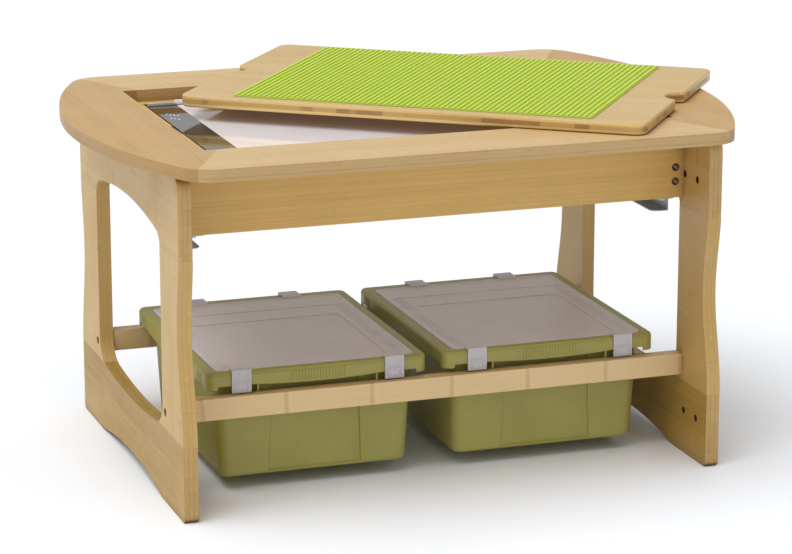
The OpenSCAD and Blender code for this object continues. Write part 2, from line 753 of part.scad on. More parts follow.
lid_z = seat_z + 0.3;                       // underside of a lid
lid_th = 1.6;
lid_top = rim_top + 0.7;
border_w = 9;
border_step = 0.5;                          // inner field below the border
panel_step_y = 58;                          // step across the lid
panel_border = 34;                          // from the lid's sides to its lowered panel
panel_front = 15;                           // from the lid's front edge to its lowered panel
front_clip_x = 108;                         // front clips from the tub's centre line
back_clip_x = 70;                           // back clips from the tub's centre line
clip_top = rim_top + 2.7;
hinge_out = 2.5;                            // clip hinge lines beyond the lid's edges
hinge_z = clip_top - 1.2;
barrel_r = 1.15;                            // rounded inner end of a clip
lug_in = 5;                                 // how far a hinge lug reaches onto the lid
clip_gap = 0.4;                             // clip to the rim it passes over
clip_low = rail_top + 1.5;
flap_th = 2.4;
box_in = [3, 2];                            // raised box of a flap, from its sides and its end
box_h = 14;
box_rise = 0.8;
box_edge = 2;                               // width of the raised box's edge

// Hinge line of the clips on one side of the lid, m is -1 at the front
function hinge_y(m) = mouth_y + m * (lid_d / 2 + hinge_out);

module hinge_lug(m) {
    edge = mouth_y + m * (lid_d / 2 - lug_in);
    tip = hinge_y(m) - m * (barrel_r + fit_gap);
    for (s = [-1, 1]) translate([s * (m < 0 ? front_clip_x : back_clip_x), 0, 0])
        block([-clip_w / 2, min(edge, tip), rim_top + clip_gap],
            [clip_w / 2, max(edge, tip), clip_top]);
}

module lid() {
    difference() {
        translate([0, mouth_y, 0]) slab(lid_w, lid_d, mouth_r, lid_z, lid_top - lid_z);
        translate([0, mouth_y, 0])
            slab(lid_w - 2 * border_w, lid_d - 2 * border_w, mouth_r - border_w / 2,
                lid_top - border_step, over);
        block([panel_border - lid_w / 2, mouth_y - lid_d / 2 + panel_front, lid_z + lid_th],
            [lid_w / 2 - panel_border, panel_step_y, lid_top + over]);
    }
    for (m = [-1, 1]) hinge_lug(m);
}

module lid_left() color(lid_lilac) placed() translate([-tub_pitch / 2, 0, 0]) lid();
module lid_right() color(lid_lilac) placed() translate([tub_pitch / 2, 0, 0]) lid();

// side is the tub, m is -1 at the front, x is the clip's place along the lid
module clip(side, m, x) color(clip_pale) placed()
    translate([side * tub_pitch / 2 + x, 0, 0]) mirror([0, m > 0 ? 1 : 0, 0]) {
        flap_y = rim_d / 2 + clip_gap;
        half = clip_w / 2;
        translate([-half, -abs(hinge_y(m)), hinge_z]) rotate([0, 90, 0])
            cylinder(r = barrel_r, h = clip_w);
        block([-half, -flap_y - flap_th, rim_top + clip_gap], [half, -abs(hinge_y(m)), clip_top]);
        block([-half, -flap_y - flap_th, clip_low], [half, -flap_y, clip_top]);
        difference() {
            block([box_in[0] - half, -flap_y - flap_th - box_rise, clip_low + box_in[1]],
                [half - box_in[0], -flap_y - flap_th, clip_low + box_in[1] + box_h]);
            block([box_in[0] + box_edge - half, -flap_y - flap_th - box_rise - over,
                    clip_low + box_in[1] + box_edge],
                [half - box_in[0] - box_edge, -flap_y - flap_th + over,
                    clip_low + box_in[1] + box_h - box_edge]);
        }
    }

module clip_left_front_a() clip(-1, -1, -front_clip_x);
module clip_left_front_b() clip(-1, -1, front_clip_x);
module clip_left_back_a() clip(-1, 1, -back_clip_x);
module clip_left_back_b() clip(-1, 1, back_clip_x);
module clip_right_front_a() clip(1, -1, -front_clip_x);
module clip_right_front_b() clip(1, -1, front_clip_x);
module clip_right_back_a() clip(1, 1, -back_clip_x);
module clip_right_back_b() clip(1, 1, back_clip_x);

top_front_rail();
top_back_rail();
top_left_end();
top_right_end();
ledge_front();
ledge_back();
ledge_left();
ledge_right();
ledge_screws();
top_dowels();
leg_front_left();
leg_rear_left();
leg_front_right();
leg_rear_right();
foot_left();
foot_right();
crown_left();
crown_right();
apron_front();
apron_back();
apron_barrel_nuts();
apron_bolts();
apron_bolt_plugs();
lower_rail_front();
lower_rail_back();
lower_rail_bolts();
lower_rail_inserts();
storage_rail_left();
storage_rail_right();
storage_rail_screws();
light_housing();
light_reflector();
light_guide();
light_diffuser();
light_control_bar();
light_edge_strip();
led_strip();
touch_board();
lead_block();
dc_inlet();
activity_board();
stud_plate();
tub_left();
tub_right();
lid_left();
lid_right();
clip_left_front_a();
clip_left_front_b();
clip_left_back_a();
clip_left_back_b();
clip_right_front_a();
clip_right_front_b();
clip_right_back_a();
clip_right_back_b();
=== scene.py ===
"""Looks of the bamboo activity table: softened bamboo pieces, moulded tubs and lids, a studded
board and a light panel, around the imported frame. Metres, in the frame's own axes."""
import json
import math
import bmesh
import bpy
from mathutils import Matrix, Vector


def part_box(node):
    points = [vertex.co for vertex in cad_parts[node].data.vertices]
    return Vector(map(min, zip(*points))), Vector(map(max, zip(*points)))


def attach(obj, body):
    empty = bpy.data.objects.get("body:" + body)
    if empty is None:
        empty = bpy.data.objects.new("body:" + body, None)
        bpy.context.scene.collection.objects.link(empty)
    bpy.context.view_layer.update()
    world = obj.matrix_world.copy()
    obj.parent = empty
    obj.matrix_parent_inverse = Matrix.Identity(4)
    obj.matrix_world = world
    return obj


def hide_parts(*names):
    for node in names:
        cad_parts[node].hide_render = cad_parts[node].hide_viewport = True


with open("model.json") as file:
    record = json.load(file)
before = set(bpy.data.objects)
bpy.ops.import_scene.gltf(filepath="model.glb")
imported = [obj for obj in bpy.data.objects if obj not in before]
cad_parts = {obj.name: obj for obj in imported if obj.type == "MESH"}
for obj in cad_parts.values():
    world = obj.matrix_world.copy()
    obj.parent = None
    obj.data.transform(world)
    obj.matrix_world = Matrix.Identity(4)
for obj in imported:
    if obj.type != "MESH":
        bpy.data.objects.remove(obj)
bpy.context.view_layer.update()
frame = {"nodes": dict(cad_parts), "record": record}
SCENE = bpy.context.scene
NODES = frame["nodes"]
BODY_OF = {n: b for b, members in frame["record"]["behaviour"]["bodies"].items() for n in members}
MM = 0.001


def mid(node):
    low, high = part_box(node)
    return (low + high) / 2


# The table's own middle on the floor: half way between the lower rails
MIDDLE = (mid("lower_rail_front") + mid("lower_rail_back")) / 2
MIDDLE.z = 0

# Inner faces of the end frames, from the middle
FRAME_IN = abs(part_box("crown_right")[0].x - MIDDLE.x)

# ---- Camera ----
CAMERA_LENS = 140.98
SENSOR = 36
CAMERA_TURN = math.radians(18.98)
CAMERA_TILT = math.radians(14.48)
CAMERA_TARGET = MIDDLE + Vector((0.00649, 0, 0.23409))
CAMERA_DISTANCE = 4.38676
CAMERA_REACH = 60


def make_camera():
    data = bpy.data.cameras.new("camera")
    data.lens = CAMERA_LENS
    data.sensor_width = SENSOR
    data.clip_end = CAMERA_REACH
    camera = bpy.data.objects.new("camera", data)
    SCENE.collection.objects.link(camera)
    back = Vector((-math.sin(CAMERA_TURN) * math.cos(CAMERA_TILT),
                   -math.cos(CAMERA_TURN) * math.cos(CAMERA_TILT), math.sin(CAMERA_TILT)))
    camera.location = CAMERA_TARGET + back * CAMERA_DISTANCE
    camera.rotation_euler = back.to_track_quat("Z", "Y").to_euler()
    SCENE.camera = camera


make_camera()


# ---- Material building ----
class Shader:
    """A material with a Principled shader, and short calls that add nodes to it."""

    def __init__(self, name, **constants):
        self.material = bpy.data.materials.new(name)
        self.material.use_nodes = True
        self.tree = self.material.node_tree
        self.surface = self.tree.nodes["Principled BSDF"]
        for socket, value in constants.items():
            self.surface.inputs[socket.replace("_", " ")].default_value = value

    def put(self, target, value):
        """Links or sets an input. None leaves it as it is."""
        if isinstance(value, bpy.types.NodeSocket):
            self.tree.links.new(value, target)
        elif value is not None:
            target.default_value = value

    def node(self, kind, inputs=None, **settings):
        made = self.tree.nodes.new("ShaderNode" + kind)
        for key, value in settings.items():
            setattr(made, key, value)
        for key, value in (inputs or {}).items():
            self.put(made.inputs[key], value)
        return made

    def math(self, operation, a, b=None):
        return self.node("Math", {0: a, 1: b}, operation=operation).outputs[0]

    def times(self, a, b):
        return self.math("MULTIPLY", a, b)

    def apart(self, a, b):
        return self.math("ABSOLUTE", self.math("SUBTRACT", a, b))

    def off_centre(self, value, size):
        """How far value is from the middle of its cell of that size, from 0 to half a cell."""
        return self.apart(self.math("FRACT", self.math("DIVIDE", value, size)), 0.5)

    def vector(self, x, y, z):
        return self.node("CombineXYZ", {0: x, 1: y, 2: z}).outputs[0]

    def grey(self, value):
        return self.node("CombineColor", {0: value, 1: value, 2: value}).outputs[0]

    def mix(self, factor, a, b, blend="MIX"):
        made = self.node("Mix", data_type="RGBA", blend_type=blend)
        self.put(made.inputs[0], factor)
        self.put(made.inputs[6], a)
        self.put(made.inputs[7], b)
        return made.outputs[2]

    def over(self, colour, top, mask, strength):
        """colour with top laid over it where mask is 1."""
        return self.mix(self.times(mask, strength), colour, top)

    def noise(self, vector, scale, detail=2.0, roughness=0.5):
        made = self.node("TexNoise", {"Vector": vector, "Scale": scale, "Detail": detail,
                                                "Roughness": roughness})
        return made.outputs["Fac"]

    def step(self, value, low, high, out_low=0.0, out_high=1.0):
        """Smooth change from out_low to out_high as value goes from low to high."""
        made = self.node("MapRange", {0: value, 1: low, 2: high, 3: out_low, 4: out_high},
                         interpolation_type="SMOOTHSTEP")
        return made.outputs[0]

    def place(self):
        return self.node("TexCoord").outputs["Object"]

    def height(self):
        return self.node("SeparateXYZ", {0: self.place()}).outputs["Z"]

    def scaled(self, vector, factors, turn=0.0):
        made = self.node("Mapping", {"Vector": vector, "Rotation": (0, 0, turn),
                                               "Scale": factors})
        return made.outputs[0]

    def bump(self, height, distance, strength):
        made = self.node("Bump", {"Height": height, "Distance": distance,
                                            "Strength": strength})
        return made.outputs[0]

    def finish(self, colour=None, roughness=None, normal=None):
        for name, value in (("Base Color", colour), ("Roughness", roughness), ("Normal", normal)):
            self.put(self.surface.inputs[name], value)
        return self.material


def rgb(r, g, b):
    return (r, g, b, 1.0)


WHITE = rgb(1.0, 1.0, 1.0)
DARK_FIBRE = rgb(0.36, 0.22, 0.09)
PALE_SHOULDER = rgb(0.78, 0.60, 0.36)
BUTT_LINE = rgb(0.33, 0.19, 0.07)
LAYER_LINE = rgb(0.27, 0.155, 0.06)
PLY_LINE = rgb(0.30, 0.17, 0.06)
CORE_LIGHT = rgb(0.57, 0.37, 0.13)
CORE_DARK = rgb(0.38, 0.22, 0.08)
CORNER_SHADE = rgb(0.36, 0.27, 0.18)
END_DARK = rgb(0.40, 0.25, 0.095)
# Noise scales of the fibres, along and across the grain
FIBRE_SCALES = (7.0, 420.0)
FINE_SCALES = (30.0, 1700.0)
PORE_SCALE = 900.0
CORE_PATCH_SCALE = 27.0
# How far strips are shifted along their culm, and the usual length of a short strip
CULM_SHIFT = 0.9
SHORT_STRIP = 0.19
# From the middle of a culm's node to its pale shoulder
SHOULDER_OFFSET = 0.0075
# Half widths of the glue lines: where they fade out, and their dark middle
STRIP_GLUE, LAYER_GLUE, GLUE_MIDDLE = 0.0004, 0.0005, 0.0001
CORNER_REACH = 0.030


def bamboo(name, grain, across, light, dark, strip=0.021, layer=0.0065, turn=0.0, core=None,
           bands=0.2, own_tone=0.3, node_gap=0.27, plies=(), end_light=(0.56, 0.385, 0.175),
           joints=0.0, edge_tint=None, band_shape=(0.0014, 0.0052), wobbly=0.010, layer_lines=0.0,
           coat=0.12, band_tone=(0.42, 0.255, 0.10)):
    """Laminated bamboo. grain and across are the letters of the axes along and across the
    strips; turn rotates them about Z; core is the (low, high) height of a darker middle ply;
    plies are the heights and strengths of glue lines in the edges; joints is the strength of
    butt joints; edge_tint multiplies the colour of upright faces; band_shape is where the dark
    of a culm's node starts and stops fading, wobbly how far it strays; layer_lines is the
    strength of the glue lines of a frame panel's layers, counted from its inner face. The
    multiplying by edge_tint is painted light and shade: upright faces lighter or darker than
    the tops by how light falls on them."""
    s = Shader(name, Coat_Weight=coat, Coat_Roughness=0.3, IOR=1.45)
    here = s.scaled(s.place(), (1, 1, 1), turn)
    split = s.node("SeparateXYZ", {0: here})
    thick = next(a for a in "XYZ" if a not in (grain, across))
    along, side, deep = split.outputs[grain], split.outputs[across], split.outputs[thick]
    if layer_lines:
        deep = s.math("SUBTRACT", s.apart(deep, MIDDLE.x), FRAME_IN)
    strip_no = s.math("FLOOR", s.math("DIVIDE", side, strip))
    layer_no = s.math("FLOOR", s.math("DIVIDE", deep, layer))
    cell = s.vector(strip_no, layer_no, 3.0)
    own = s.node("TexWhiteNoise", {"Vector": cell}, noise_dimensions="3D").outputs["Value"]
    # each strip starts somewhere else along its culm
    shifted = s.math("ADD", along, s.times(own, CULM_SHIFT))

    def stretched(lengthways, crossways):
        return s.vector(s.times(shifted, lengthways), s.times(side, crossways),
                        s.times(deep, crossways))

    def glue_lines(value, size, half_width):
        return s.step(s.off_centre(value, size), 0.5 - half_width / size, 0.5 - GLUE_MIDDLE / size)

    fibre = s.noise(stretched(*FIBRE_SCALES), 1.0, 4.0, 0.62)
    fine = s.noise(stretched(*FINE_SCALES), 1.0, 2.0, 0.6)
    cloud = s.noise(here, 9.0, 2.0)
    tone = s.math("ADD", s.times(fibre, 0.7), s.times(own, own_tone))
    tone = s.math("ADD", tone, s.times(cloud, 0.35))
    colour = s.mix(s.step(tone, 0.40, 1.10), rgb(*light), rgb(*dark))
    # dark vascular dashes
    colour = s.over(colour, DARK_FIBRE, s.step(fine, 0.63, 0.76), 0.22)
    # nodes of the culm: a dark band across each strip, with a pale shoulder beside it
    wobble = s.times(s.math("SUBTRACT", s.noise(here, 60.0), 0.5), wobbly)
    drift = s.noise(s.scaled(here, (4.0, 4.0, 4.0)), 1.0, 0.0)
    spread = s.times(s.math("SUBTRACT", drift, 0.5), 0.35 * node_gap)
    place = s.math("ADD", s.math("ADD", shifted, wobble), spread)
    phase = s.times(s.math("FRACT", s.math("DIVIDE", place, node_gap)), node_gap)
    band = s.step(s.apart(phase, node_gap / 2), *band_shape, 1.0, 0.0)
    pale = s.step(s.apart(phase, node_gap / 2 + SHOULDER_OFFSET), 0.001, 0.004, 1.0, 0.0)
    colour = s.over(colour, PALE_SHOULDER, pale, bands * 0.5)
    colour = s.over(colour, rgb(*band_tone), band, bands)
    seam = glue_lines(side, strip, STRIP_GLUE)
    colour = s.over(colour, DARK_FIBRE, seam, 0.25)
    if joints:
        # short butt joints where one strip ends and the next begins
        butt = s.step(s.off_centre(shifted, SHORT_STRIP), 0.489, 0.498)
        colour = s.over(colour, BUTT_LINE, butt, joints)
    # end grain on faces that cut the strips across
    normal_in = s.node("TexCoord").outputs["Normal"]
    axes = s.node("SeparateXYZ", {0: s.scaled(normal_in, (1, 1, 1), turn)})
    end = s.step(s.math("ABSOLUTE", axes.outputs[grain]), 0.72, 0.93)
    pores = s.node("TexVoronoi", {"Vector": here, "Scale": PORE_SCALE}).outputs["Distance"]
    end_tone = s.math("ADD", s.times(s.step(pores, 0.25, 0.55), 0.55), s.times(own, 0.45))
    layer_seam = glue_lines(deep, layer, LAYER_GLUE)
    end_colour = s.over(s.mix(end_tone, END_DARK, rgb(*end_light)), LAYER_LINE,
                        s.math("MAXIMUM", layer_seam, seam), 0.45)
    colour = s.over(colour, end_colour, end, 0.85)
    if layer_lines:
        edge_on = s.step(s.math("ABSOLUTE", axes.outputs[thick]), 0.4, 0.7, 1.0, 0.0)
        colour = s.over(colour, LAYER_LINE, s.times(layer_seam, edge_on), layer_lines)
    height_at = s.height()
    upright = s.step(s.math("ABSOLUTE", axes.outputs["Z"]), 0.35, 0.6, 1.0, 0.0)
    # painted light and shade: upright faces made lighter or darker than the tops by how light falls on
    # them
    if edge_tint:
        colour = s.mix(1.0, colour, s.mix(upright, WHITE, rgb(*edge_tint)), "MULTIPLY")
    for ply_z, strength in plies:
        line = s.step(s.apart(height_at, ply_z), 0.0002, 0.0006, 1.0, 0.0)
        colour = s.over(colour, PLY_LINE, s.times(line, upright), strength)
    if core:
        inside = s.times(s.math("GREATER_THAN", height_at, core[0]),
                         s.math("LESS_THAN", height_at, core[1]))
        patch_at = s.scaled(here, (CORE_PATCH_SCALE, CORE_PATCH_SCALE, 1.0))
        patch = s.step(s.noise(patch_at, 1.0, 0.0), 0.50, 0.55)
        colour = s.mix(inside, colour, s.mix(patch, CORE_LIGHT, CORE_DARK))
    # painted shade in corners, creases and under overhangs: the colour darkens where ambient occlusion
    # finds the surface closed in
    open_sky = s.node("AmbientOcclusion", {"Distance": CORNER_REACH}, samples=8)
    shade = s.mix(s.step(open_sky.outputs["AO"], 0.22, 0.74), CORNER_SHADE, WHITE)
    colour = s.mix(1.0, colour, shade, "MULTIPLY")
    relief = s.math("ADD", s.times(fibre, 0.5), s.times(fine, 0.5))
    normal = s.bump(s.math("SUBTRACT", relief, s.times(seam, 0.8)), 0.00035, 0.35)
    roughness = s.step(s.math("ADD", fibre, cloud), 0.6, 1.4, 0.36, 0.54)
    return s.finish(colour, roughness, normal)


def plastic(name, colour, rough=0.42, grain=2600.0, depth=0.00006, variation=0.06, wear=0.0,
            **constants):
    """Moulded plastic: a fine spark-eroded skin, faint flow shading and scuffs."""
    s = Shader(name, **constants)
    here = s.place()
    cloud = s.noise(here, 14.0, 3.0)
    skin = s.noise(here, grain, 2.0, 0.6)
    tint = s.step(cloud, 0.3, 0.7, 1.0 - variation, 1.0 + variation)
    tinted = s.mix(1.0, rgb(*colour), s.grey(tint), "MULTIPLY")
    if wear:
        scuff = s.step(s.noise(s.scaled(here, (60.0, 240.0, 90.0)), 1.0, 5.0, 0.7), 0.62, 0.78)
        pale = rgb(*[min(1.0, c * 1.35 + 0.03) for c in colour])
        tinted = s.over(tinted, pale, scuff, wear)
    roughness = s.step(s.math("ADD", cloud, skin), 0.7, 1.3, rough - 0.06, rough + 0.08)
    return s.finish(tinted, roughness, s.bump(skin, depth, 0.6))


def studded(name, colour, shade_colour, low, high):
    """Glossy plastic with painted shade: darker from the stud tops down to the sheet between them."""
    s = Shader(name, Subsurface_Weight=0.03, Roughness=0.3)
    here = s.place()
    cloud = s.noise(here, 18.0, 2.0)
    shade = s.mix(s.step(s.height(), low, high), rgb(*shade_colour), rgb(*colour))
    shade = s.mix(s.step(cloud, 0.35, 0.75, 0.0, 0.12), shade, rgb(*[c * 0.8 for c in colour]))
    roughness = s.step(cloud, 0.3, 0.7, 0.26, 0.36)
    return s.finish(shade, roughness, s.bump(s.noise(here, 2600.0), 0.00002, 0.5))


def metal(name, colour, rough, along=(900.0, 12.0, 900.0), stain=0.15, metallic=1.0):
    """Metal with directional brushing and faint staining."""
    s = Shader(name, Metallic=metallic)
    here = s.place()
    brush = s.noise(s.scaled(here, along), 1.0, 3.0, 0.6)
    cloud = s.noise(here, 35.0, 3.0)
    dull = rgb(*[c * (1 - 2.2 * stain) for c in colour])
    shade = s.mix(s.step(s.math("ADD", brush, cloud), 0.75, 1.35), rgb(*colour), dull)
    roughness = s.step(brush, 0.25, 0.75, rough - 0.08, rough + 0.12)
    return s.finish(shade, roughness, s.bump(brush, 0.00004, 0.5))


def board_axes():
    """Centre, long direction and size of the stud plate as it lies, from its own corners."""
    corners = [v.co.copy() for v in NODES["stud_plate"].data.vertices]
    top = max(c.z for c in corners)
    flat = [c for c in corners if abs(c.z - top) < 1e-6]
    west = min(flat, key=lambda c: c.x)
    south = min(flat, key=lambda c: c.y)
    north = max(flat, key=lambda c: c.y)
    long_end, short_end = sorted((south, north), key=lambda c: -(c - west).length)
    u = (long_end - west)
    v = (short_end - west)
    centre = west + (u + v) / 2
    return centre, u, v


PLATE_CENTRE, PLATE_U, PLATE_V = board_axes()
BOARD_TURN = math.atan2(PLATE_U.y, PLATE_U.x)
BOARD_LOW, BOARD_HIGH = (c.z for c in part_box("activity_board"))
PLY = (BOARD_HIGH - BOARD_LOW) * 0.30

WARM = dict(light=(0.69, 0.443, 0.130), dark=(0.55, 0.335, 0.085))
RING_LOW, RING_HIGH = (c.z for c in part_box("top_front_rail"))
RING_TH = RING_HIGH - RING_LOW
# edge_tint paints shade on the ring's upright faces, darker than its top
RING_WOOD = dict(plies=((RING_LOW + 0.27 * RING_TH, 0.5), (RING_LOW + 0.62 * RING_TH, 0.2)),
                 own_tone=0.20, edge_tint=(0.82, 0.78, 0.69))
EVEN_BRUSH = (300.0, 300.0, 300.0)
PLATE_LOW, PLATE_HIGH = (c.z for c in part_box("stud_plate"))
FRAME_WOOD = dict(layer_lines=0.4, coat=0.03, light=(0.578, 0.376, 0.128),
                  dark=(0.490, 0.300, 0.088))
END_PALE = (0.60, 0.38, 0.14)
MATERIALS = {
    "rail_x": bamboo("bamboo_along_x", "X", "Y", bands=0.16, light=(0.655, 0.455, 0.220),
                     dark=(0.55, 0.365, 0.155), **RING_WOOD),
    "end_y": bamboo("bamboo_along_y", "Y", "X", bands=0.08, light=(0.555, 0.350, 0.135),
                    dark=(0.450, 0.268, 0.090), **RING_WOOD),
    "apron": bamboo("bamboo_apron", "X", "Z", strip=0.0068, bands=0.10, own_tone=0.15, **WARM),
    "ledge_x": bamboo("bamboo_ledge_x", "X", "Y", **WARM),
    "ledge_y": bamboo("bamboo_ledge_y", "Y", "X", **WARM),
    "leg": bamboo("bamboo_leg", "Z", "Y", bands=0.22, own_tone=0.14, **FRAME_WOOD),
    "crown": bamboo("bamboo_crown", "Y", "Z", strip=0.020, joints=0.8, bands=0.12,
                    end_light=END_PALE, **FRAME_WOOD),
    "foot": bamboo("bamboo_foot", "Y", "Z", light=(0.460, 0.280, 0.058),
                   dark=(0.33, 0.190, 0.035), own_tone=0.32, joints=0.5, layer_lines=0.4,
                   coat=0.03, end_light=END_PALE),
    "lower_rail": bamboo("bamboo_lower_rail", "X", "Z", strip=0.2, layer=0.0067, bands=0.33,
                         node_gap=0.118, band_shape=(0.0006, 0.0050), wobbly=0.002,
                         band_tone=(0.46, 0.23, 0.05), light=(0.77, 0.555, 0.285),
                         dark=(0.67, 0.46, 0.21)),
    # edge_tint paints light on the board's edges, lighter than its top
    "board": bamboo("bamboo_board", "X", "Y", turn=-BOARD_TURN, bands=0.12, own_tone=0.2,
                    core=(BOARD_LOW + PLY, BOARD_HIGH - PLY),
                    light=(0.63, 0.445, 0.195), dark=(0.53, 0.355, 0.14),
                    edge_tint=(1.30, 1.32, 1.16)),
    # dark wood for the faces inside the accessory holes: painted shade in the bores
    "hole": bamboo("bamboo_hole_painted_shade", "X", "Y", light=(0.20, 0.12, 0.05), dark=(0.12, 0.07, 0.03)),
    "bronze": metal("antique_bronze", (0.30, 0.13, 0.10), 0.40, EVEN_BRUSH, 0.2),
    "dark_steel": metal("dark_steel", (0.13, 0.10, 0.09), 0.30, EVEN_BRUSH, 0.2),
    "zinc": metal("zinc_steel", (0.62, 0.62, 0.63), 0.34, (400.0, 400.0, 400.0)),
    "channel": metal("galvanised_sheet", (0.50, 0.51, 0.52), 0.42, (900.0, 14.0, 900.0), 0.08, 0.55),
    "brass": metal("insert_brass", (0.72, 0.55, 0.26), 0.35),
    "aluminium": metal("edge_aluminium", (0.92, 0.91, 0.95), 0.30, (12.0, 900.0, 900.0), 0.05, 0.7),
    "white_abs": plastic("white_abs", (0.90, 0.90, 0.89), 0.38),
    "acrylic": plastic("clear_acrylic", (0.85, 0.92, 0.95), 0.12, Transmission_Weight=0.8),
    # the diffuser is not lit: its faint warm emission is painted light, standing in for the board's
    # warm reflection on it
    "diffuser": plastic("opal_diffuser_painted_glow", (0.90, 0.88, 0.92), 0.10, 4000.0, 0.00001, 0.01,
                        Coat_Weight=0.5, Coat_Roughness=0.05, Emission_Strength=0.075,
                        Emission_Color=rgb(1.0, 0.60, 0.38)),
    "smoked": plastic("smoked_panel", (0.035, 0.026, 0.018), 0.07, 4000.0, 0.000004, 0.03,
                      Coat_Weight=0.6, Coat_Roughness=0.03),
    "glyph": plastic("glyph_white", (0.82, 0.80, 0.80), 0.5, 4000.0, 0.00001, 0.02),
    "led": plastic("led_tape", (0.92, 0.88, 0.62), 0.4),
    "circuit": plastic("circuit_board", (0.03, 0.22, 0.10), 0.3),
    "black": plastic("black_abs", (0.025, 0.025, 0.025), 0.4),
    # the studs' second colour is painted shade on the sheet between them
    "studs": studded("stud_green", (0.61, 0.76, 0.065), (0.25, 0.33, 0.015), PLATE_LOW, PLATE_HIGH),
    "tub": plastic("tub_green", (0.355, 0.32, 0.074), 0.42, 2200.0, 0.00008, 0.05, 0.10),
    "lid": plastic("lid_translucent", (0.76, 0.68, 0.66), 0.34, 2600.0, 0.00005, 0.04, 0.08,
                   Transmission_Weight=0.12, IOR=1.45),
    # paler than the lid: painted highlights on the lid's beads and grips and on the clips' window rims
    # and bars
    "bead": plastic("lid_edge_painted_highlight", (0.78, 0.74, 0.80), 0.26, 2600.0, 0.00003, 0.03,
                    Transmission_Weight=0.15, IOR=1.45),
    "clip": plastic("clip_translucent", (0.70, 0.65, 0.67), 0.30, 2600.0, 0.00002, 0.04, 0.05,
                    Transmission_Weight=0.25, IOR=1.4),
}
FRAME_LEGS = ["leg_front_left", "leg_rear_left", "leg_front_right", "leg_rear_right"]
LOOKS = {
    "rail_x": ["top_front_rail", "top_back_rail"], "end_y": ["top_left_end", "top_right_end"],
    "apron": ["apron_front", "apron_back"], "ledge_x": ["ledge_front", "ledge_back"],
    "ledge_y": ["ledge_left", "ledge_right"],
    "leg": FRAME_LEGS + ["top_dowels", "apron_bolt_plugs"],
    "crown": ["crown_left", "crown_right"], "foot": ["foot_left", "foot_right"],
    "lower_rail": ["lower_rail_front", "lower_rail_back"], "board": ["activity_board"],
    "bronze": ["apron_barrel_nuts"], "dark_steel": ["lower_rail_bolts"],
    "zinc": ["ledge_screws", "apron_bolts", "storage_rail_screws"],
    "channel": ["storage_rail_left", "storage_rail_right"], "brass": ["lower_rail_inserts"],
    "aluminium": ["light_edge_strip"], "white_abs": ["light_housing", "light_reflector", "lead_block"],
    "acrylic": ["light_guide"], "diffuser": ["light_diffuser"], "smoked": ["light_control_bar"],
    "led": ["led_strip"], "circuit": ["touch_board"], "black": ["dc_inlet"], "studs": ["stud_plate"],
    "tub": ["tub_left", "tub_right"], "lid": ["lid_left", "lid_right"],
    "clip": [n for n in NODES if n.startswith("clip_")],
}
LOOK_OF = {n: look for look, nodes in LOOKS.items() for n in nodes}
for name, cad in NODES.items():
    for material_slot in cad.material_slots:
        material_slot.material = MATERIALS[LOOK_OF[name]]


# ---- Pieces ----
SAME_POINT = 2e-6
FLAT_ANGLE = math.radians(0.4)
ARRIS_ANGLE = math.radians(40)
GLUE_ARRIS = 0.0002
NEAR = 0.0008


def make_object(name, bm, material, smooth_angle=0.0):
    """Makes an object of bm, smooth where its faces meet at less than the angle in degrees."""
    mesh = bpy.data.meshes.new(name)
    bm.to_mesh(mesh)
    bm.free()
    mesh.materials.append(material)
    if smooth_angle:
        mesh.shade_smooth()
        mesh.set_sharp_from_angle(angle=math.radians(smooth_angle))
    made = bpy.data.objects.new(name, mesh)
    SCENE.collection.objects.link(made)
    return made


def add_piece(name, bm, look, body, smooth_angle=35.0):
    """A piece that rides on a body, with its normals weighted so that flat faces stay flat."""
    bmesh.ops.recalc_face_normals(bm, faces=bm.faces)
    piece = make_object(name, bm, MATERIALS[look], smooth_angle)
    weighted = piece.modifiers.new("weighted", "WEIGHTED_NORMAL")
    weighted.keep_sharp = True
    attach(piece, body)
    return piece


def clean_copy(node):
    """The node's mesh with its triangles joined into flat faces again."""
    bm = bmesh.new()
    bm.from_mesh(NODES[node].data)
    bmesh.ops.remove_doubles(bm, verts=bm.verts, dist=SAME_POINT)
    bmesh.ops.dissolve_limit(bm, angle_limit=FLAT_ANGLE, verts=bm.verts, edges=bm.edges)
    return bm


def soften(node, width, segments=3, skip=lambda point: False, fine=0.0, second=None):
    """Replaces a CAD node by a copy with rounded arrises. skip says which edges, by their
    middle, keep a sharp arris, such as those on a glue line; fine gives those a small one;
    second is a (look, test) pair that gives the faces picked by the test another look."""
    bm = clean_copy(node)
    if second:
        for face in bm.faces:
            if second[1](face):
                face.material_index = 1
    for radius, wanted, count in ((width, False, segments), (fine, True, 1)):
        if radius <= 0:
            continue
        edges = []
        for e in bm.edges:
            if len(e.link_faces) != 2 or e.calc_face_angle(0) < ARRIS_ANGLE:
                continue
            middle = (e.verts[0].co + e.verts[1].co) / 2
            if skip(middle) == wanted:
                edges.append(e)
        bmesh.ops.bevel(bm, geom=edges, offset=radius, offset_type="OFFSET", segments=count,
                        profile=0.5, affect="EDGES", clamp_overlap=True)
    bmesh.ops.triangulate(bm, faces=[f for f in bm.faces if len(f.verts) > 4])
    piece = add_piece(node + "_soft", bm, LOOK_OF[node], BODY_OF[node])
    if second:
        piece.data.materials.append(MATERIALS[second[0]])
    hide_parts(node)
    return piece


def near_line(point, a, b):
    """True if point is close to the line through a and b, seen from above."""
    d = (b - a).normalized()
    r = point.xy - a
    return abs(r.x * d.y - r.y * d.x) < NEAR


# Ring top: the four seams run from the recess to the outer edge
def seam_ends():
    """Inner and outer end of the front right seam, from the front rail's own corners."""
    points = [v.co.xy for v in NODES["top_front_rail"].data.vertices]
    inner_y = max(p.y for p in points)
    inner = max((p for p in points if p.y > inner_y - 1e-5), key=lambda p: p.x)
    outer = max(points, key=lambda p: p.x)
    return inner - MIDDLE.xy, outer - MIDDLE.xy


SEAM_IN, SEAM_OUT = seam_ends()
RING_ROUND = 0.0046


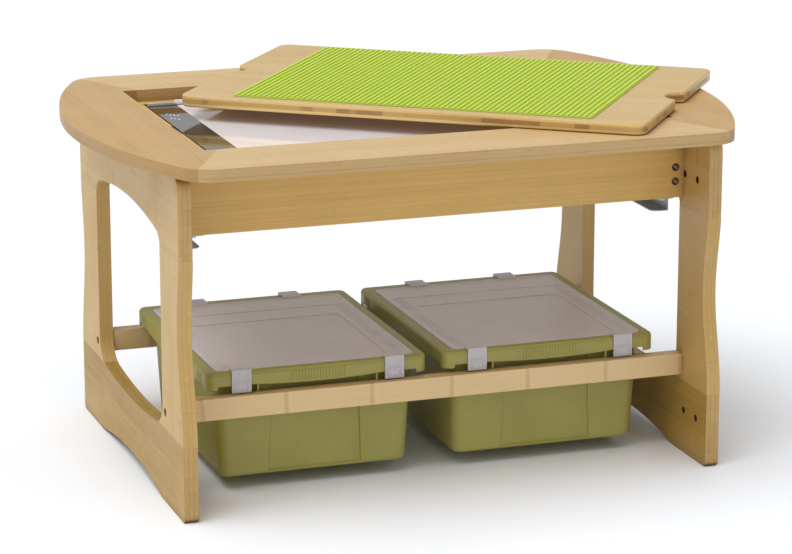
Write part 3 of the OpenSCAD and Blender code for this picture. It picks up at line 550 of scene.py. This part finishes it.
def on_seam(point):
    flipped = Vector((abs(point.x - MIDDLE.x), -abs(point.y - MIDDLE.y), 0))
    return near_line(flipped, SEAM_IN, SEAM_OUT)


for ring_piece in LOOKS["rail_x"] + LOOKS["end_y"]:
    soften(ring_piece, RING_ROUND, 5, on_seam, GLUE_ARRIS)

# End frames: glue lines between foot, legs and crown
FOOT_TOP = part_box("foot_left")[1].z
CROWN_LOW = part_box("crown_left")[0].z
FRAME_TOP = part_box("crown_left")[1].z
FRAME_ROUND = 0.0042
ACCESSORY_R = 0.005
BORE_R = {"apron_bolt_plugs": 0.006, "lower_rail_bolts": 0.00525}
# Arrises this close to a hole's middle are its own rim
HOLE_REACH = 0.0068


def hole_centres():
    """(distance from the middle, height) of an end frame's accessory holes, and of all holes."""
    centres = []
    for mount in frame["record"]["mounts"]:
        if mount["name"].startswith("accessory_"):
            y, z = abs(mount["pos_m"][1] - MIDDLE.y), mount["pos_m"][2]
            half = mount["dims"]["spacing_x_mm"] * MM / 2
            centres.extend(((y - half, z), (y + half, z)))
    accessory = list(centres)
    for node, radius in BORE_R.items():
        low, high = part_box(node)
        y = (high.y - low.y) / 2 - radius
        centres.extend(((y, low.z + radius), (y, high.z - radius)))
    return accessory, centres


ACCESSORY_HOLES, HOLES = hole_centres()


def on_frame_joint(point):
    return (min(abs(point.z - FOOT_TOP), abs(point.z - CROWN_LOW)) < NEAR
            or point.z > FRAME_TOP - NEAR)


def near_hole(point, centres, reach):
    y = abs(point.y - MIDDLE.y)
    return any(math.hypot(y - cy, point.z - cz) < reach for cy, cz in centres)


def in_accessory_hole(face):
    middle = face.calc_center_median()
    past_inner_face = abs(middle.x - MIDDLE.x) > FRAME_IN + NEAR / 2
    return past_inner_face and near_hole(middle, ACCESSORY_HOLES, ACCESSORY_R + NEAR / 2)


# faces inside the accessory holes take the dark hole look: painted shade
for frame_piece in FRAME_LEGS + LOOKS["foot"] + LOOKS["crown"]:
    soften(frame_piece, FRAME_ROUND, 4,
           lambda p: on_frame_joint(p) or near_hole(p, HOLES, HOLE_REACH), GLUE_ARRIS,
           ("hole", in_accessory_hole))

# Aprons, rails and ledges: the bores near the ends and the ledges' undersides stay crisp
BORES_FROM_FRAME, BORES_HALF = 0.012, 0.0075
LEDGE_CRISP = 0.004
LEDGE_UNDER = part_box("ledge_left")[0].z + LEDGE_CRISP
STRIP_ROUND, STRIP_FINE, LEDGE_ROUND = 0.0016, 0.0003, 0.001
for strip_piece in LOOKS["apron"] + LOOKS["lower_rail"]:
    soften(strip_piece, STRIP_ROUND, 3,
           lambda p: abs(abs(p.x - MIDDLE.x) - FRAME_IN + BORES_FROM_FRAME) < BORES_HALF,
           STRIP_FINE)
for ledge_piece in LOOKS["ledge_x"] + LOOKS["ledge_y"]:
    soften(ledge_piece, LEDGE_ROUND, 2, lambda p: p.z < LEDGE_UNDER)
PANEL_PIECES = ["light_housing", "light_diffuser", "light_control_bar", "light_edge_strip",
                "lead_block"]
# Radius and segments of the arrises of the other pieces
OTHER_ROUNDS = ((0.0022, 4, LOOKS["board"]), (0.0004, 2, LOOKS["channel"]),
                (0.0007, 2, LOOKS["clip"]), (0.0004, 2, PANEL_PIECES))
for arris_radius, arris_segments, rounded_nodes in OTHER_ROUNDS:
    for rounded_node in rounded_nodes:
        soften(rounded_node, arris_radius, arris_segments)


# ---- Shared builders ----
def skin(bm, loops, closed=False, foot=True):
    """Joins loops of equal length with quads. Closes them into a tube, or else caps the last
    loop and, with foot, the first."""
    rings = [[bm.verts.new(p) for p in loop] for loop in loops]
    count = len(rings[0])
    pairs = list(zip(rings, rings[1:]))
    if closed:
        pairs.append((rings[-1], rings[0]))
    for lower, upper in pairs:
        for k in range(count):
            n = (k + 1) % count
            bm.faces.new((lower[k], lower[n], upper[n], upper[k]))
    if not closed:
        if foot:
            bm.faces.new(list(reversed(rings[0])))
        bm.faces.new(rings[-1])


def lifted(points, z):
    return [p + Vector((0, 0, z)) for p in points]


def circle(sides):
    """Cosine and sine of the turns of a regular polygon."""
    turns = [2 * math.pi * k / sides for k in range(sides)]
    return [(math.cos(a), math.sin(a)) for a in turns]


def add_cube(bm, matrix, bevel, **settings):
    made = bmesh.ops.create_cube(bm, size=1.0)["verts"]
    bmesh.ops.transform(bm, matrix=matrix, verts=made)
    if bevel:
        edges = list({e for v in made for e in v.link_edges})
        bmesh.ops.bevel(bm, geom=edges, offset=bevel, segments=2, affect="EDGES", **settings)


def add_box(bm, corner, opposite, bevel=0.0004):
    """A box between two opposite corners, given in either order."""
    low = Vector([min(pair) for pair in zip(corner, opposite)])
    high = Vector([max(pair) for pair in zip(corner, opposite)])
    matrix = Matrix.Translation((low + high) / 2) @ Matrix.Diagonal((*(high - low), 1))
    add_cube(bm, matrix, bevel, profile=0.5, clamp_overlap=True)


def add_oval(bm, centre, sign, profile, sides):
    """A low ring round centre on an upright face that looks along sign times Y. profile holds
    the half width, half height and distance out of the face of each loop."""
    skin(bm, [[centre + Vector((half_w * c, sign * out, half_h * d)) for c, d in circle(sides)]
              for half_w, half_h, out in profile], True)


# ---- Stud plate ----
STUD_PITCH = 0.008
STUD_RADIUS = 0.00245
STUD_HEIGHT = 0.0018
STUD_SIDES = 12
STUD_EDGE = 0.0003
SHEET_EDGE = 0.0004


def stud_plate():
    """The sheet and its rows of studs, along the plate's own sides."""
    low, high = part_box("stud_plate")
    u, v = PLATE_U.normalized(), PLATE_V.normalized()
    nu, nv = round(PLATE_U.length / STUD_PITCH), round(PLATE_V.length / STUD_PITCH)
    sheet_top = high.z - STUD_HEIGHT
    hu, hv = PLATE_U.length / 2, PLATE_V.length / 2
    centre = Vector((PLATE_CENTRE.x, PLATE_CENTRE.y, 0))

    def at(along_u, along_v, z):
        return centre + u * along_u + v * along_v + Vector((0, 0, z))

    bm = bmesh.new()
    sheet = ((low.z, 0), (sheet_top - SHEET_EDGE, 0), (sheet_top, SHEET_EDGE))
    skin(bm, [[at(a * (hu - inset), b * (hv - inset), z)
               for a, b in ((-1, -1), (1, -1), (1, 1), (-1, 1))] for z, inset in sheet])
    profile = ((STUD_RADIUS, sheet_top), (STUD_RADIUS, high.z - STUD_EDGE),
               (STUD_RADIUS - STUD_EDGE, high.z))
    for i in range(nu):
        for j in range(nv):
            x, y = (i + 0.5) * STUD_PITCH - hu, (j + 0.5) * STUD_PITCH - hv
            skin(bm, [[at(x + radius * c, y + radius * d, z) for c, d in circle(STUD_SIDES)]
                      for radius, z in profile], foot=False)
    piece = make_object("studded_plate", bm, MATERIALS["studs"], 35.0)
    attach(piece, "board")
    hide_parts("stud_plate")


stud_plate()


# ---- Lofted shells ----
CORNER_STEPS = 6


def loop_points(centre, w, d, r, xs=(-1, 1), ys=(-1, 1)):
    """Rounded rectangle, counter-clockwise from the front left. xs and ys place the points along
    the straight sides, from -1 to 1 of their half length."""
    hx, hy = w / 2 - r, d / 2 - r
    points = []

    def corner(cx, cy, start):
        for k in range(1, CORNER_STEPS):
            a = math.radians(start + 90 * k / CORNER_STEPS)
            points.append((cx + r * math.cos(a), cy + r * math.sin(a)))

    points.extend((f * hx, -d / 2) for f in xs)
    corner(hx, -hy, -90)
    points.extend((w / 2, f * hy) for f in ys)
    corner(hx, hy, 0)
    points.extend((-f * hx, d / 2) for f in xs)
    corner(-hx, hy, 90)
    points.extend((-w / 2, -f * hy) for f in ys)
    corner(-hx, -hy, 180)
    return [Vector((centre.x + x, centre.y + y, 0)) for x, y in points]


def rounded(w, d, r, z, reach, turn_from, turn_to, steps=4):
    """Rings of a fillet: w, d and r grow by reach*cos and z by reach*sin of the angle."""
    rings = []
    for k in range(steps + 1):
        a = math.radians(turn_from + (turn_to - turn_from) * k / steps)
        grow = reach * math.cos(a)
        rings.append((w + 2 * grow, d + 2 * grow, r + grow, z + reach * math.sin(a)))
    return rings


# Sizes of a tub, as in the frame's solids
BODY_W, BODY_D = 0.283, 0.331
TAPER_W, TAPER_D = 0.016, 0.008
BODY_R = (0.016, 0.015)
MOUTH_Y = -0.0065
MOUTH_R = 0.010
WALL = 0.0025
SKIRT_H, SKIRT_TH, TAB_DROP, TAB_LEN = 0.0195, 0.0025, 0.005, 0.016
RIM_R, RIM_EDGE = 0.012, 0.0007
SEAT_DROP, SHOULDER = 0.0022, 0.005
LID_W, LID_D = 0.281, 0.340
FIT_GAP = 0.0005
# The skirt's bows, front and side: half length, depth, and steps in half its length
FACE_BOW = (0.095, 0.0035, 6)
SIDE_BOW = (0.150, 0.0085, 8)
TAB_STEP = 0.0002
RIB_X, RIB_TH = 0.084, 0.0025
CREASE_TOP, CREASE_BASE, CREASE_HALF = 0.060, 0.066, 0.0005
PANEL_DEPTH = 0.0022
# Sunk panel of a tub's front and back: distances below the seat and above the base
PANEL_BELOW_SEAT, PANEL_ABOVE_BASE = 0.004, 0.0047
FOOT_ROUND, INNER_ROUND = 0.0045, 0.006
DISH_IN, DISH_EDGE, DISH_DEPTH = 0.030, 0.027, 0.0014


def tub_body(bm, centre, base, seat):
    """Outer and inner walls up to the lid's seat, with a sunk middle panel front and back."""
    mouth = centre + Vector((0, MOUTH_Y, 0))
    top = seat + SEAT_DROP
    panel_top, panel_base = seat - PANEL_BELOW_SEAT, base + PANEL_ABOVE_BASE

    def size(z, inset=0.0):
        t = (z - base) / (top - base)
        r = BODY_R[0] + (BODY_R[1] - BODY_R[0]) * t
        return (BODY_W - TAPER_W * (1 - t) - 2 * inset, BODY_D - TAPER_D * (1 - t) - 2 * inset,
                r - inset)

    def ring(w, d, r, z, sunk=False):
        t = (z - base) / (top - base)
        crease = (CREASE_BASE + (CREASE_TOP - CREASE_BASE) * t) / (w / 2 - r)
        soft = CREASE_HALF / (w / 2 - r)
        xs = (-1, -crease - soft, -crease + soft, crease - soft, crease + soft, 1)
        loop = loop_points(mouth, w, d, r, xs)
        if sunk:
            back = len(xs) + 2 + 2 * (CORNER_STEPS - 1)
            for k in (2, 3):
                loop[k].y += PANEL_DEPTH
                loop[back + k].y -= PANEL_DEPTH
        return lifted(loop, z)

    foot_w, foot_d, foot_r = size(base)
    # the underside is dished a little inside its standing edge
    loops = [ring(foot_w - 2 * DISH_IN, foot_d - 2 * DISH_IN, 0.008, base + DISH_DEPTH),
             ring(foot_w - 2 * DISH_EDGE, foot_d - 2 * DISH_EDGE, 0.010, base)]
    fillet = rounded(foot_w - 2 * FOOT_ROUND, foot_d - 2 * FOOT_ROUND, foot_r - FOOT_ROUND,
                     base + FOOT_ROUND, FOOT_ROUND, -90, 0)
    loops.extend(ring(*shape) for shape in fillet)
    loops.append(ring(*size(panel_base), panel_base))
    for z in (panel_base + 0.001, base + 0.05, base + 0.10, panel_top, seat):
        loops.append(ring(*size(z), z, True))
    for z in (seat, base + 0.10, base + 0.012):
        loops.append(ring(*size(z, WALL), z))
    inside = 2 * (INNER_ROUND + WALL)
    fillet = rounded(foot_w - inside, foot_d - inside, foot_r - inside / 2,
                     base + WALL + INNER_ROUND, INNER_ROUND, 0, -90, 3)
    loops.extend(ring(*shape) for shape in fillet)
    skin(bm, loops)


def tub_rim(bm, centre, w, d, top):
    """Rim with its rounded shoulder, the lid's seat, the bowed skirt and its corner tabs."""
    seat = top - SEAT_DROP
    under = seat - WALL
    skirt_low = top - SKIRT_H
    mouth = centre + Vector((0, MOUTH_Y, 0))
    hx, hy = w / 2 - RIM_R, d / 2 - RIM_R
    tab_x, tab_y = (w / 2 - TAB_LEN) / hx, (d / 2 - TAB_LEN) / hy
    near = TAB_STEP / hx
    bow_x, bow_y = ([bow[0] / half * (k / bow[2] - 1) for k in range(2 * bow[2] + 1)]
                    for bow, half in ((FACE_BOW, hx), (SIDE_BOW, hy)))
    xs = (-1, -tab_x - near, -tab_x + near, *bow_x, tab_x - near, tab_x + near, 1)
    ys = (-1, -tab_y - near, -tab_y + near, *bow_y, tab_y - near, tab_y + near, 1)

    def flat_ring(inset):
        return loop_points(centre, w - 2 * inset, d - 2 * inset, RIM_R - inset, xs, ys)

    def lower_edge(p):
        x, y = abs(p.x - centre.x), abs(p.y - centre.y)
        if x > w / 2 - TAB_LEN and y > d / 2 - TAB_LEN:
            return skirt_low - TAB_DROP
        if y > d / 2 - SKIRT_TH and x < FACE_BOW[0]:
            return skirt_low - FACE_BOW[1] * (1 - (x / FACE_BOW[0]) ** 2)
        if x > w / 2 - SKIRT_TH and y < SIDE_BOW[0]:
            return skirt_low - SIDE_BOW[1] * (1 - (y / SIDE_BOW[0]) ** 2)
        return skirt_low

    heights = [lower_edge(p) for p in flat_ring(0)]

    def ring(inset, z):
        return lifted(flat_ring(inset), z)

    def edge_ring(inset, lift):
        return [p + Vector((0, 0, h + lift)) for p, h in zip(flat_ring(inset), heights)]

    def seat_ring(width, depth, r, z):
        return lifted(loop_points(mouth, width, depth, r, xs, ys), z)

    loops = [edge_ring(SKIRT_TH, 0.0006), edge_ring(SKIRT_TH - RIM_EDGE, 0),
             edge_ring(RIM_EDGE, 0), edge_ring(0, RIM_EDGE), ring(0, under)]
    for k in range(6):
        a = math.radians(90 * k / 5)
        loops.append(ring(SHOULDER * (1 - math.cos(a)), top - SHOULDER + SHOULDER * math.sin(a)))
    seat_w, seat_d, seat_r = LID_W + 2 * FIT_GAP, LID_D + 2 * FIT_GAP, MOUTH_R + FIT_GAP
    # just clear of the body's inner wall
    inner = BODY_W - 2 * WALL + 0.001, BODY_D - 2 * WALL + 0.001, BODY_R[1] - WALL
    loops += [seat_ring(seat_w + 2 * RIM_EDGE, seat_d + 2 * RIM_EDGE, seat_r + RIM_EDGE, top),
              seat_ring(seat_w, seat_d, seat_r, top - RIM_EDGE),
              seat_ring(seat_w, seat_d, seat_r, seat), seat_ring(*inner, seat),
              seat_ring(*inner, under), ring(SKIRT_TH, under)]
    skin(bm, loops, True)


# Rows of flutes on the front and back, in the side skirts, and ribs behind the side skirts
FLUTES, FLUTE_PITCH, FLUTE_HALF, FLUTE_OUT = 19, 0.0043, 0.0010, 0.0014
TOP_FLUTE_LEN, TOP_FLUTE_IN = 0.0042, 0.0062
SIDE_FLUTES, SIDE_FLUTE_PITCH, SIDE_FLUTE_HALF, SIDE_FLUTE_START = 6, 0.0046, 0.0012, 0.026
INNER_RIBS, INNER_RIB_PITCH, INNER_RIB_HALF, INNER_RIB_LIFT = 13, 0.024, 0.0008, 0.003
# How far these sink into the body's wall, the skirt and the rim
BODY_SINK, SKIRT_SINK, SMALL_SINK, FLUTE_SINK = 0.0018, 0.001, 0.0005, 0.0004


def row(count, pitch):
    """Places of a row of things, with its middle at 0."""
    return [(k - (count - 1) / 2) * pitch for k in range(count)]


def tub(side):
    """One tub: body, rim, resting ribs, flutes and the ribs inside its side skirts."""
    node = f"tub_{side}"
    low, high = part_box(node)
    centre = Vector(((low.x + high.x) / 2, (low.y + high.y) / 2, 0))
    rim_w, rim_d = high.x - low.x, high.y - low.y
    top, base = high.z, low.z
    under = top - SEAT_DROP - WALL
    rail_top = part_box("lower_rail_front")[1].z
    flute_low, flute_high = top - SKIRT_H + 0.001, under - 0.0012
    bm = bmesh.new()
    tub_body(bm, centre, base, top - SEAT_DROP)
    tub_rim(bm, centre, rim_w, rim_d, top)
    for sign in (-1, 1):
        face = centre.y + sign * rim_d / 2
        skirt_x = centre.x + sign * rim_w / 2
        # resting ribs between body and skirt, down to the lower rails
        wall_y = centre.y + MOUTH_Y + sign * (BODY_D / 2 - BODY_SINK)
        for x in (centre.x - RIB_X, centre.x + RIB_X):
            add_box(bm, (x - RIB_TH / 2, wall_y, rail_top),
                    (x + RIB_TH / 2, face - sign * SKIRT_SINK, under + SMALL_SINK), 0.0003)
        # fluted grips, one row on the skirt and one on the shoulder
        for across in row(FLUTES, FLUTE_PITCH):
            x = centre.x + across
            y = face - sign * FLUTE_SINK
            add_box(bm, (x - FLUTE_HALF, y, flute_low),
                    (x + FLUTE_HALF, y + sign * FLUTE_OUT, flute_high), 0.0005)
            y = face - sign * TOP_FLUTE_IN
            add_box(bm, (x - FLUTE_HALF, y - TOP_FLUTE_LEN / 2, top - 0.0006),
                    (x + FLUTE_HALF, y + TOP_FLUTE_LEN / 2, top + 0.0001), 0.0003)
        # short rows of upright flutes at both ends of the side skirts
        for end in (-1, 1):
            for k in range(SIDE_FLUTES):
                y = centre.y + end * (rim_d / 2 - SIDE_FLUTE_START - k * SIDE_FLUTE_PITCH)
                add_box(bm, (skirt_x - SMALL_SINK, y - SIDE_FLUTE_HALF, flute_low),
                        (skirt_x + SMALL_SINK, y + SIDE_FLUTE_HALF, flute_high))
        # stiffening ribs inside the side skirts
        wall_x = centre.x + sign * (BODY_W / 2 - SMALL_SINK)
        for along in row(INNER_RIBS, INNER_RIB_PITCH):
            y = centre.y + along
            add_box(bm, (wall_x, y - INNER_RIB_HALF, top - SKIRT_H + INNER_RIB_LIFT),
                    (skirt_x - sign * SKIRT_SINK, y + INNER_RIB_HALF, under + FLUTE_SINK), 0)
    piece = add_piece(node + "_shell", bm, "tub", node, 32)
    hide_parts(node)


# Sizes of a lid: border, field and front panel, then the beads and grips on them
LID_RISE = 0.0007
BORDER = 0.009
PANEL_SIDE, PANEL_FRONT = 0.034, 0.015
PANEL_STEP_Y = 0.058
FIELD_DROP, PANEL_DROP = 0.0007, 0.0019
EDGE_BEAD, EDGE_BEAD_IN = 0.0030, 0.0012
BEAD_Y, BEAD_HALF, BEAD_SINK, BEAD_RISE = 0.105, 0.0009, 0.0002, 0.0007
SIDE_BEADS, SIDE_BEAD_HALF, SIDE_BEAD_RISE = (0.0135, 0.0180, 0.0225), 0.0007, 0.0006
SIDE_BEAD_FRONT, SIDE_BEAD_BACK = 0.014, 0.004
GRIP_Y, GRIP_IN, GRIP_HALF_X, GRIP_HALF_Y = 0.100, 0.0052, 0.0035, 0.005
LEAST_R = 0.002
# Loops of the sheet: in from its edge and up from its underside; in from its edge and down from
# its top; wider than the front panel, corner radius and down from the top
UNDER_LOOPS = ((0.0012, 0), (0.0003, 0.0003), (0, 0.0009))
OVER_LOOPS = ((0, 0.0008), (0.0003, 0.0002), (0.0010, 0), (BORDER - 0.0012, 0),
              (BORDER - 0.0004, 0.0003), (BORDER, FIELD_DROP))
PANEL_LOOPS = ((0.001, 0.0045, FIELD_DROP), (0, 0.004, FIELD_DROP + 0.0003),
               (-0.0004, 0.0038, PANEL_DROP))


def lid(side):
    """The lid's sheet, with raised border, field, lowered front panel and hinge lugs, and the
    edges moulded on it, in a paler look that paints highlights on them."""
    tub_low, tub_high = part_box(f"tub_{side}")
    middle_x = (tub_low.x + tub_high.x) / 2
    centre = Vector((middle_x, MIDDLE.y + MOUTH_Y, 0))
    node = f"lid_{side}"
    z0, z1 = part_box(node)[0].z, tub_high.z + LID_RISE
    front, back = centre.y - LID_D / 2 + PANEL_FRONT, MIDDLE.y + PANEL_STEP_Y
    panel_centre = Vector((middle_x, (front + back) / 2, 0))
    panel_w, panel_d = LID_W - 2 * PANEL_SIDE, back - front

    def inset(by, z):
        return lifted(loop_points(centre, LID_W - 2 * by, LID_D - 2 * by,
                                  max(LEAST_R, MOUTH_R - by)), z)

    loops = [inset(by, z0 + up) for by, up in UNDER_LOOPS]
    loops += [inset(by, z1 - down) for by, down in OVER_LOOPS]
    loops += [lifted(loop_points(panel_centre, panel_w + grow, panel_d + grow, r), z1 - down)
              for grow, r, down in PANEL_LOOPS]
    bm = bmesh.new()
    skin(bm, loops)
    for clip in LOOKS["clip"]:
        if f"clip_{side}_" in clip:
            add_lug(bm, clip, centre)
    piece = add_piece(node + "_sheet", bm, "lid", node, 32)
    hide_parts(node)
    # moulded edges in a paler look, which paints highlights on them: a bead round the border, one
    #     across the back, three along each side, and a grip on each side
    bm = bmesh.new()
    add_border_bead(bm, centre, z1)
    field = z1 - FIELD_DROP
    half = LID_W / 2 - BORDER - 0.002
    bead_y = MIDDLE.y + BEAD_Y
    add_box(bm, (middle_x - half, bead_y - BEAD_HALF, field - BEAD_SINK),
            (middle_x + half, bead_y + BEAD_HALF, field + BEAD_RISE))
    for sign in (-1, 1):
        for offset in SIDE_BEADS:
            x = middle_x + sign * (LID_W / 2 - offset)
            y = centre.y - LID_D / 2 + SIDE_BEAD_FRONT
            add_box(bm, (x - SIDE_BEAD_HALF, y, field - BEAD_SINK),
                    (x + SIDE_BEAD_HALF, bead_y - SIDE_BEAD_BACK, field + SIDE_BEAD_RISE), 0.0003)
        x = middle_x + sign * (LID_W / 2 - GRIP_IN)
        y = MIDDLE.y + GRIP_Y
        add_box(bm, (x - GRIP_HALF_X, y - GRIP_HALF_Y, z1 - BEAD_SINK),
                (x + GRIP_HALF_X, y + GRIP_HALF_Y, z1 + SIDE_BEAD_RISE))
    add_piece(node + "_beads", bm, "bead", node, 32)


def add_border_bead(bm, centre, z):
    """A low rounded bead that runs round the lid just inside its edge."""
    flank = ((0.0, -0.0003), (0.0003, 0.0004), (0.0011, 0.0007))
    profile = flank + tuple((EDGE_BEAD - out, up) for out, up in reversed(flank))
    loops = []
    for out, up in profile:
        inset = EDGE_BEAD_IN + out
        loop = loop_points(centre, LID_W - 2 * inset, LID_D - 2 * inset,
                           max(LEAST_R, MOUTH_R - inset))
        loops.append(lifted(loop, z + up))
    skin(bm, loops, True)


LUG_IN, LUG_OUT, LUG_TH = 0.005, 0.00085, 0.0023


def add_lug(bm, clip, centre):
    """The lid's side of a clip's living hinge."""
    low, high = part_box(clip)
    sign = -1 if (low.y + high.y) / 2 < centre.y else 1
    edge = centre.y + sign * LID_D / 2
    add_box(bm, (low.x, edge - sign * LUG_IN, high.z - LUG_TH), (high.x, edge + sign * LUG_OUT, high.z))


# A clip's oval window: half width, half height, height above the clip's foot, and its loops as
# (part of that size, distance out of the face)
WINDOW_W, WINDOW_H, WINDOW_Z, WINDOW_SIDES = 0.0052, 0.0026, 0.0075, 20
WINDOW_LOOPS = ((1.0, -0.0002), (0.92, 0.0005), (0.66, 0.0005), (0.55, -0.0002))
CLIP_SKIN = 0.0008
BAR_W, BAR_OUT, BAR_IN = 0.0012, 0.0004, 0.0003


def clip_details(node):
    """The oval rim of a clip's snap window and two upright bars along the clip's edges."""
    low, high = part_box(node)
    sign = -1 if (low.y + high.y) / 2 < MIDDLE.y else 1
    outer = (low.y if sign < 0 else high.y) - sign * CLIP_SKIN
    bm = bmesh.new()
    add_oval(bm, Vector(((low.x + high.x) / 2, outer, low.z + WINDOW_Z)), sign,
             [(WINDOW_W * part, WINDOW_H * part, out) for part, out in WINDOW_LOOPS], WINDOW_SIDES)
    for edge in (low.x + BAR_IN, high.x - BAR_IN - BAR_W):
        add_box(bm, (edge, outer, low.z + 0.0005),
                (edge + BAR_W, outer + sign * BAR_OUT, high.z - 0.002), 0.0002)
    # the window rim and bars take the lid's paler look: painted highlights
    add_piece(node + "_window", bm, "bead", node)


for tub_side in ("left", "right"):
    tub(tub_side)
    lid(tub_side)
for clip_piece in LOOKS["clip"]:
    clip_details(clip_piece)

NUT_R, NUT_SIDES = 0.005, 28
# Loops of the dark ring round a nut, painted shade of the gap round it: how far beyond the nut's edge,
# and how far out of the apron
NUT_RIM = ((0.0006, -0.0002), (0.0005, 0.0003), (-0.0009, 0.0003), (-0.0011, -0.0002))
SLOT_SIZE = (0.0078, 0.0004, 0.0013)
SLOT_TURN, SLOT_EDGE = math.radians(40), 0.00012


def nut_faces():
    """The middle of each barrel nut's face, and which way it looks along Y."""
    low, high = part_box("apron_barrel_nuts")
    return [(Vector((x, y, z)), sign) for y, sign in ((low.y, -1), (high.y, 1))
            for x in (low.x + NUT_R, high.x - NUT_R) for z in (low.z + NUT_R, high.z - NUT_R)]


def nut_details():
    """Dark rings round the barrel nuts in the aprons, painted shade of the gap round each nut, and a
    bright zinc bar along each nut's driving slot, a painted highlight.
    """
    rims, slots = bmesh.new(), bmesh.new()
    size, turn = Matrix.Diagonal((*SLOT_SIZE, 1)), Matrix.Rotation(SLOT_TURN, 4, "Y")
    for centre, sign in nut_faces():
        add_oval(rims, centre, sign, [(NUT_R + grow, NUT_R + grow, out) for grow, out in NUT_RIM],
                 NUT_SIDES)
        add_cube(slots, Matrix.Translation(centre) @ turn @ size, SLOT_EDGE)
    # dark rings: painted shade of the gap round each nut
    add_piece("nut_shade_rings", rims, "black", "table")
    # bright zinc bars: painted highlights along the slots
    add_piece("nut_slot_highlights", slots, "zinc", "table")


nut_details()


# ---- Light panel's printed marks and seal ----
# Each row: distance from the bar's left side and back end, and how many marks
MARK_ROWS = ((0.010, 0.062, 4), (0.009, 0.092, 3))
MARK_STEP_X, MARK_STEP_Y = 0.0042, 0.0050
MARK_W, MARK_HALF_Y, MARK_TH = 0.0026, 0.0022, 0.00012
DOT_X, DOT_Y = (0.0008, 0.0022), (0.0034, 0.0044)
SEAL_FRONT, SEAL_BACK, SEAL_RISE = 0.0018, 0.0002, 0.0006


def control_marks():
    """Plain generic marks on the control bar: two short rows of small bars and dots."""
    low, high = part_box("light_control_bar")
    z = high.z
    bm = bmesh.new()
    for from_side, from_back, count in MARK_ROWS:
        for k in range(count):
            x = low.x + from_side + k * MARK_STEP_X
            y = high.y - from_back - k * MARK_STEP_Y
            add_box(bm, (x, y - MARK_HALF_Y, z), (x + MARK_W, y + MARK_HALF_Y, z + MARK_TH), 0)
            add_box(bm, (x + DOT_X[0], y + DOT_Y[0], z), (x + DOT_X[1], y + DOT_Y[1], z + MARK_TH), 0)
    add_piece("control_marks", bm, "glyph", "light_panel")


def panel_gasket():
    """A thin dark seal on the diffuser, in front of the edge strip."""
    strip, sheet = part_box("light_edge_strip"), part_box("light_diffuser")
    bm = bmesh.new()
    add_box(bm, (strip[0].x + 0.001, strip[0].y - SEAL_FRONT, sheet[1].z - 0.0002),
            (strip[1].x - 0.001, strip[0].y - SEAL_BACK, sheet[1].z + SEAL_RISE), 0.0003)
    add_piece("panel_gasket", bm, "black", "light_panel")


control_marks()
panel_gasket()


# ---- Stage and light ----
FLOOR_SIZE = 30.0
FLOOR_DROP = 0.0002
FLOOR_TONES = (0.925, 0.94)
FLOOR_TINT = rgb(0.968, 1.0, 1.05)
WORLD_STRENGTH = 0.55
SUN_TOWARD, SUN_STRENGTH, SUN_ANGLE = (-0.20, -0.05, 0.55), 1.92, 50
KEY_PLACE, KEY_TARGET, KEY_SIZE, KEY_POWER = (-1.6, -1.9, 2.9), (0, 0, 0.25), 2.6, 8


def stage_floor():
    s = Shader("floor_pale", Roughness=0.9)
    here = s.place()
    tone = s.step(s.noise(here, 3.0, 2.0), 0.3, 0.7, *FLOOR_TONES)
    s.finish(s.mix(1.0, s.grey(tone), FLOOR_TINT, "MULTIPLY"))
    bm = bmesh.new()
    bmesh.ops.create_grid(bm, x_segments=2, y_segments=2, size=FLOOR_SIZE / 2)
    floor = make_object("floor", bm, s.material)
    floor.location = (0, 0, -FLOOR_DROP)


def add_light(name, kind, place, target=(0, 0, 0), **settings):
    data = bpy.data.lights.new(name, kind)
    for key, value in settings.items():
        setattr(data, key, value)
    light = bpy.data.objects.new(name, data)
    light.location = place
    light.rotation_euler = (Vector(place) - Vector(target)).to_track_quat("Z", "Y").to_euler()
    SCENE.collection.objects.link(light)


def world_light():
    world = bpy.data.worlds.new("studio")
    world.use_nodes = True
    background = world.node_tree.nodes["Background"]
    background.inputs["Color"].default_value = WHITE
    background.inputs["Strength"].default_value = WORLD_STRENGTH
    SCENE.world = world


stage_floor()
world_light()
# a very wide, soft sun stands in for a studio's overhead bank of lights
add_light("overhead", "SUN", SUN_TOWARD, energy=SUN_STRENGTH, angle=math.radians(SUN_ANGLE))
add_light("key", "AREA", KEY_PLACE, KEY_TARGET, size=KEY_SIZE, energy=KEY_POWER)
SCENE.view_settings.view_transform = "Standard"
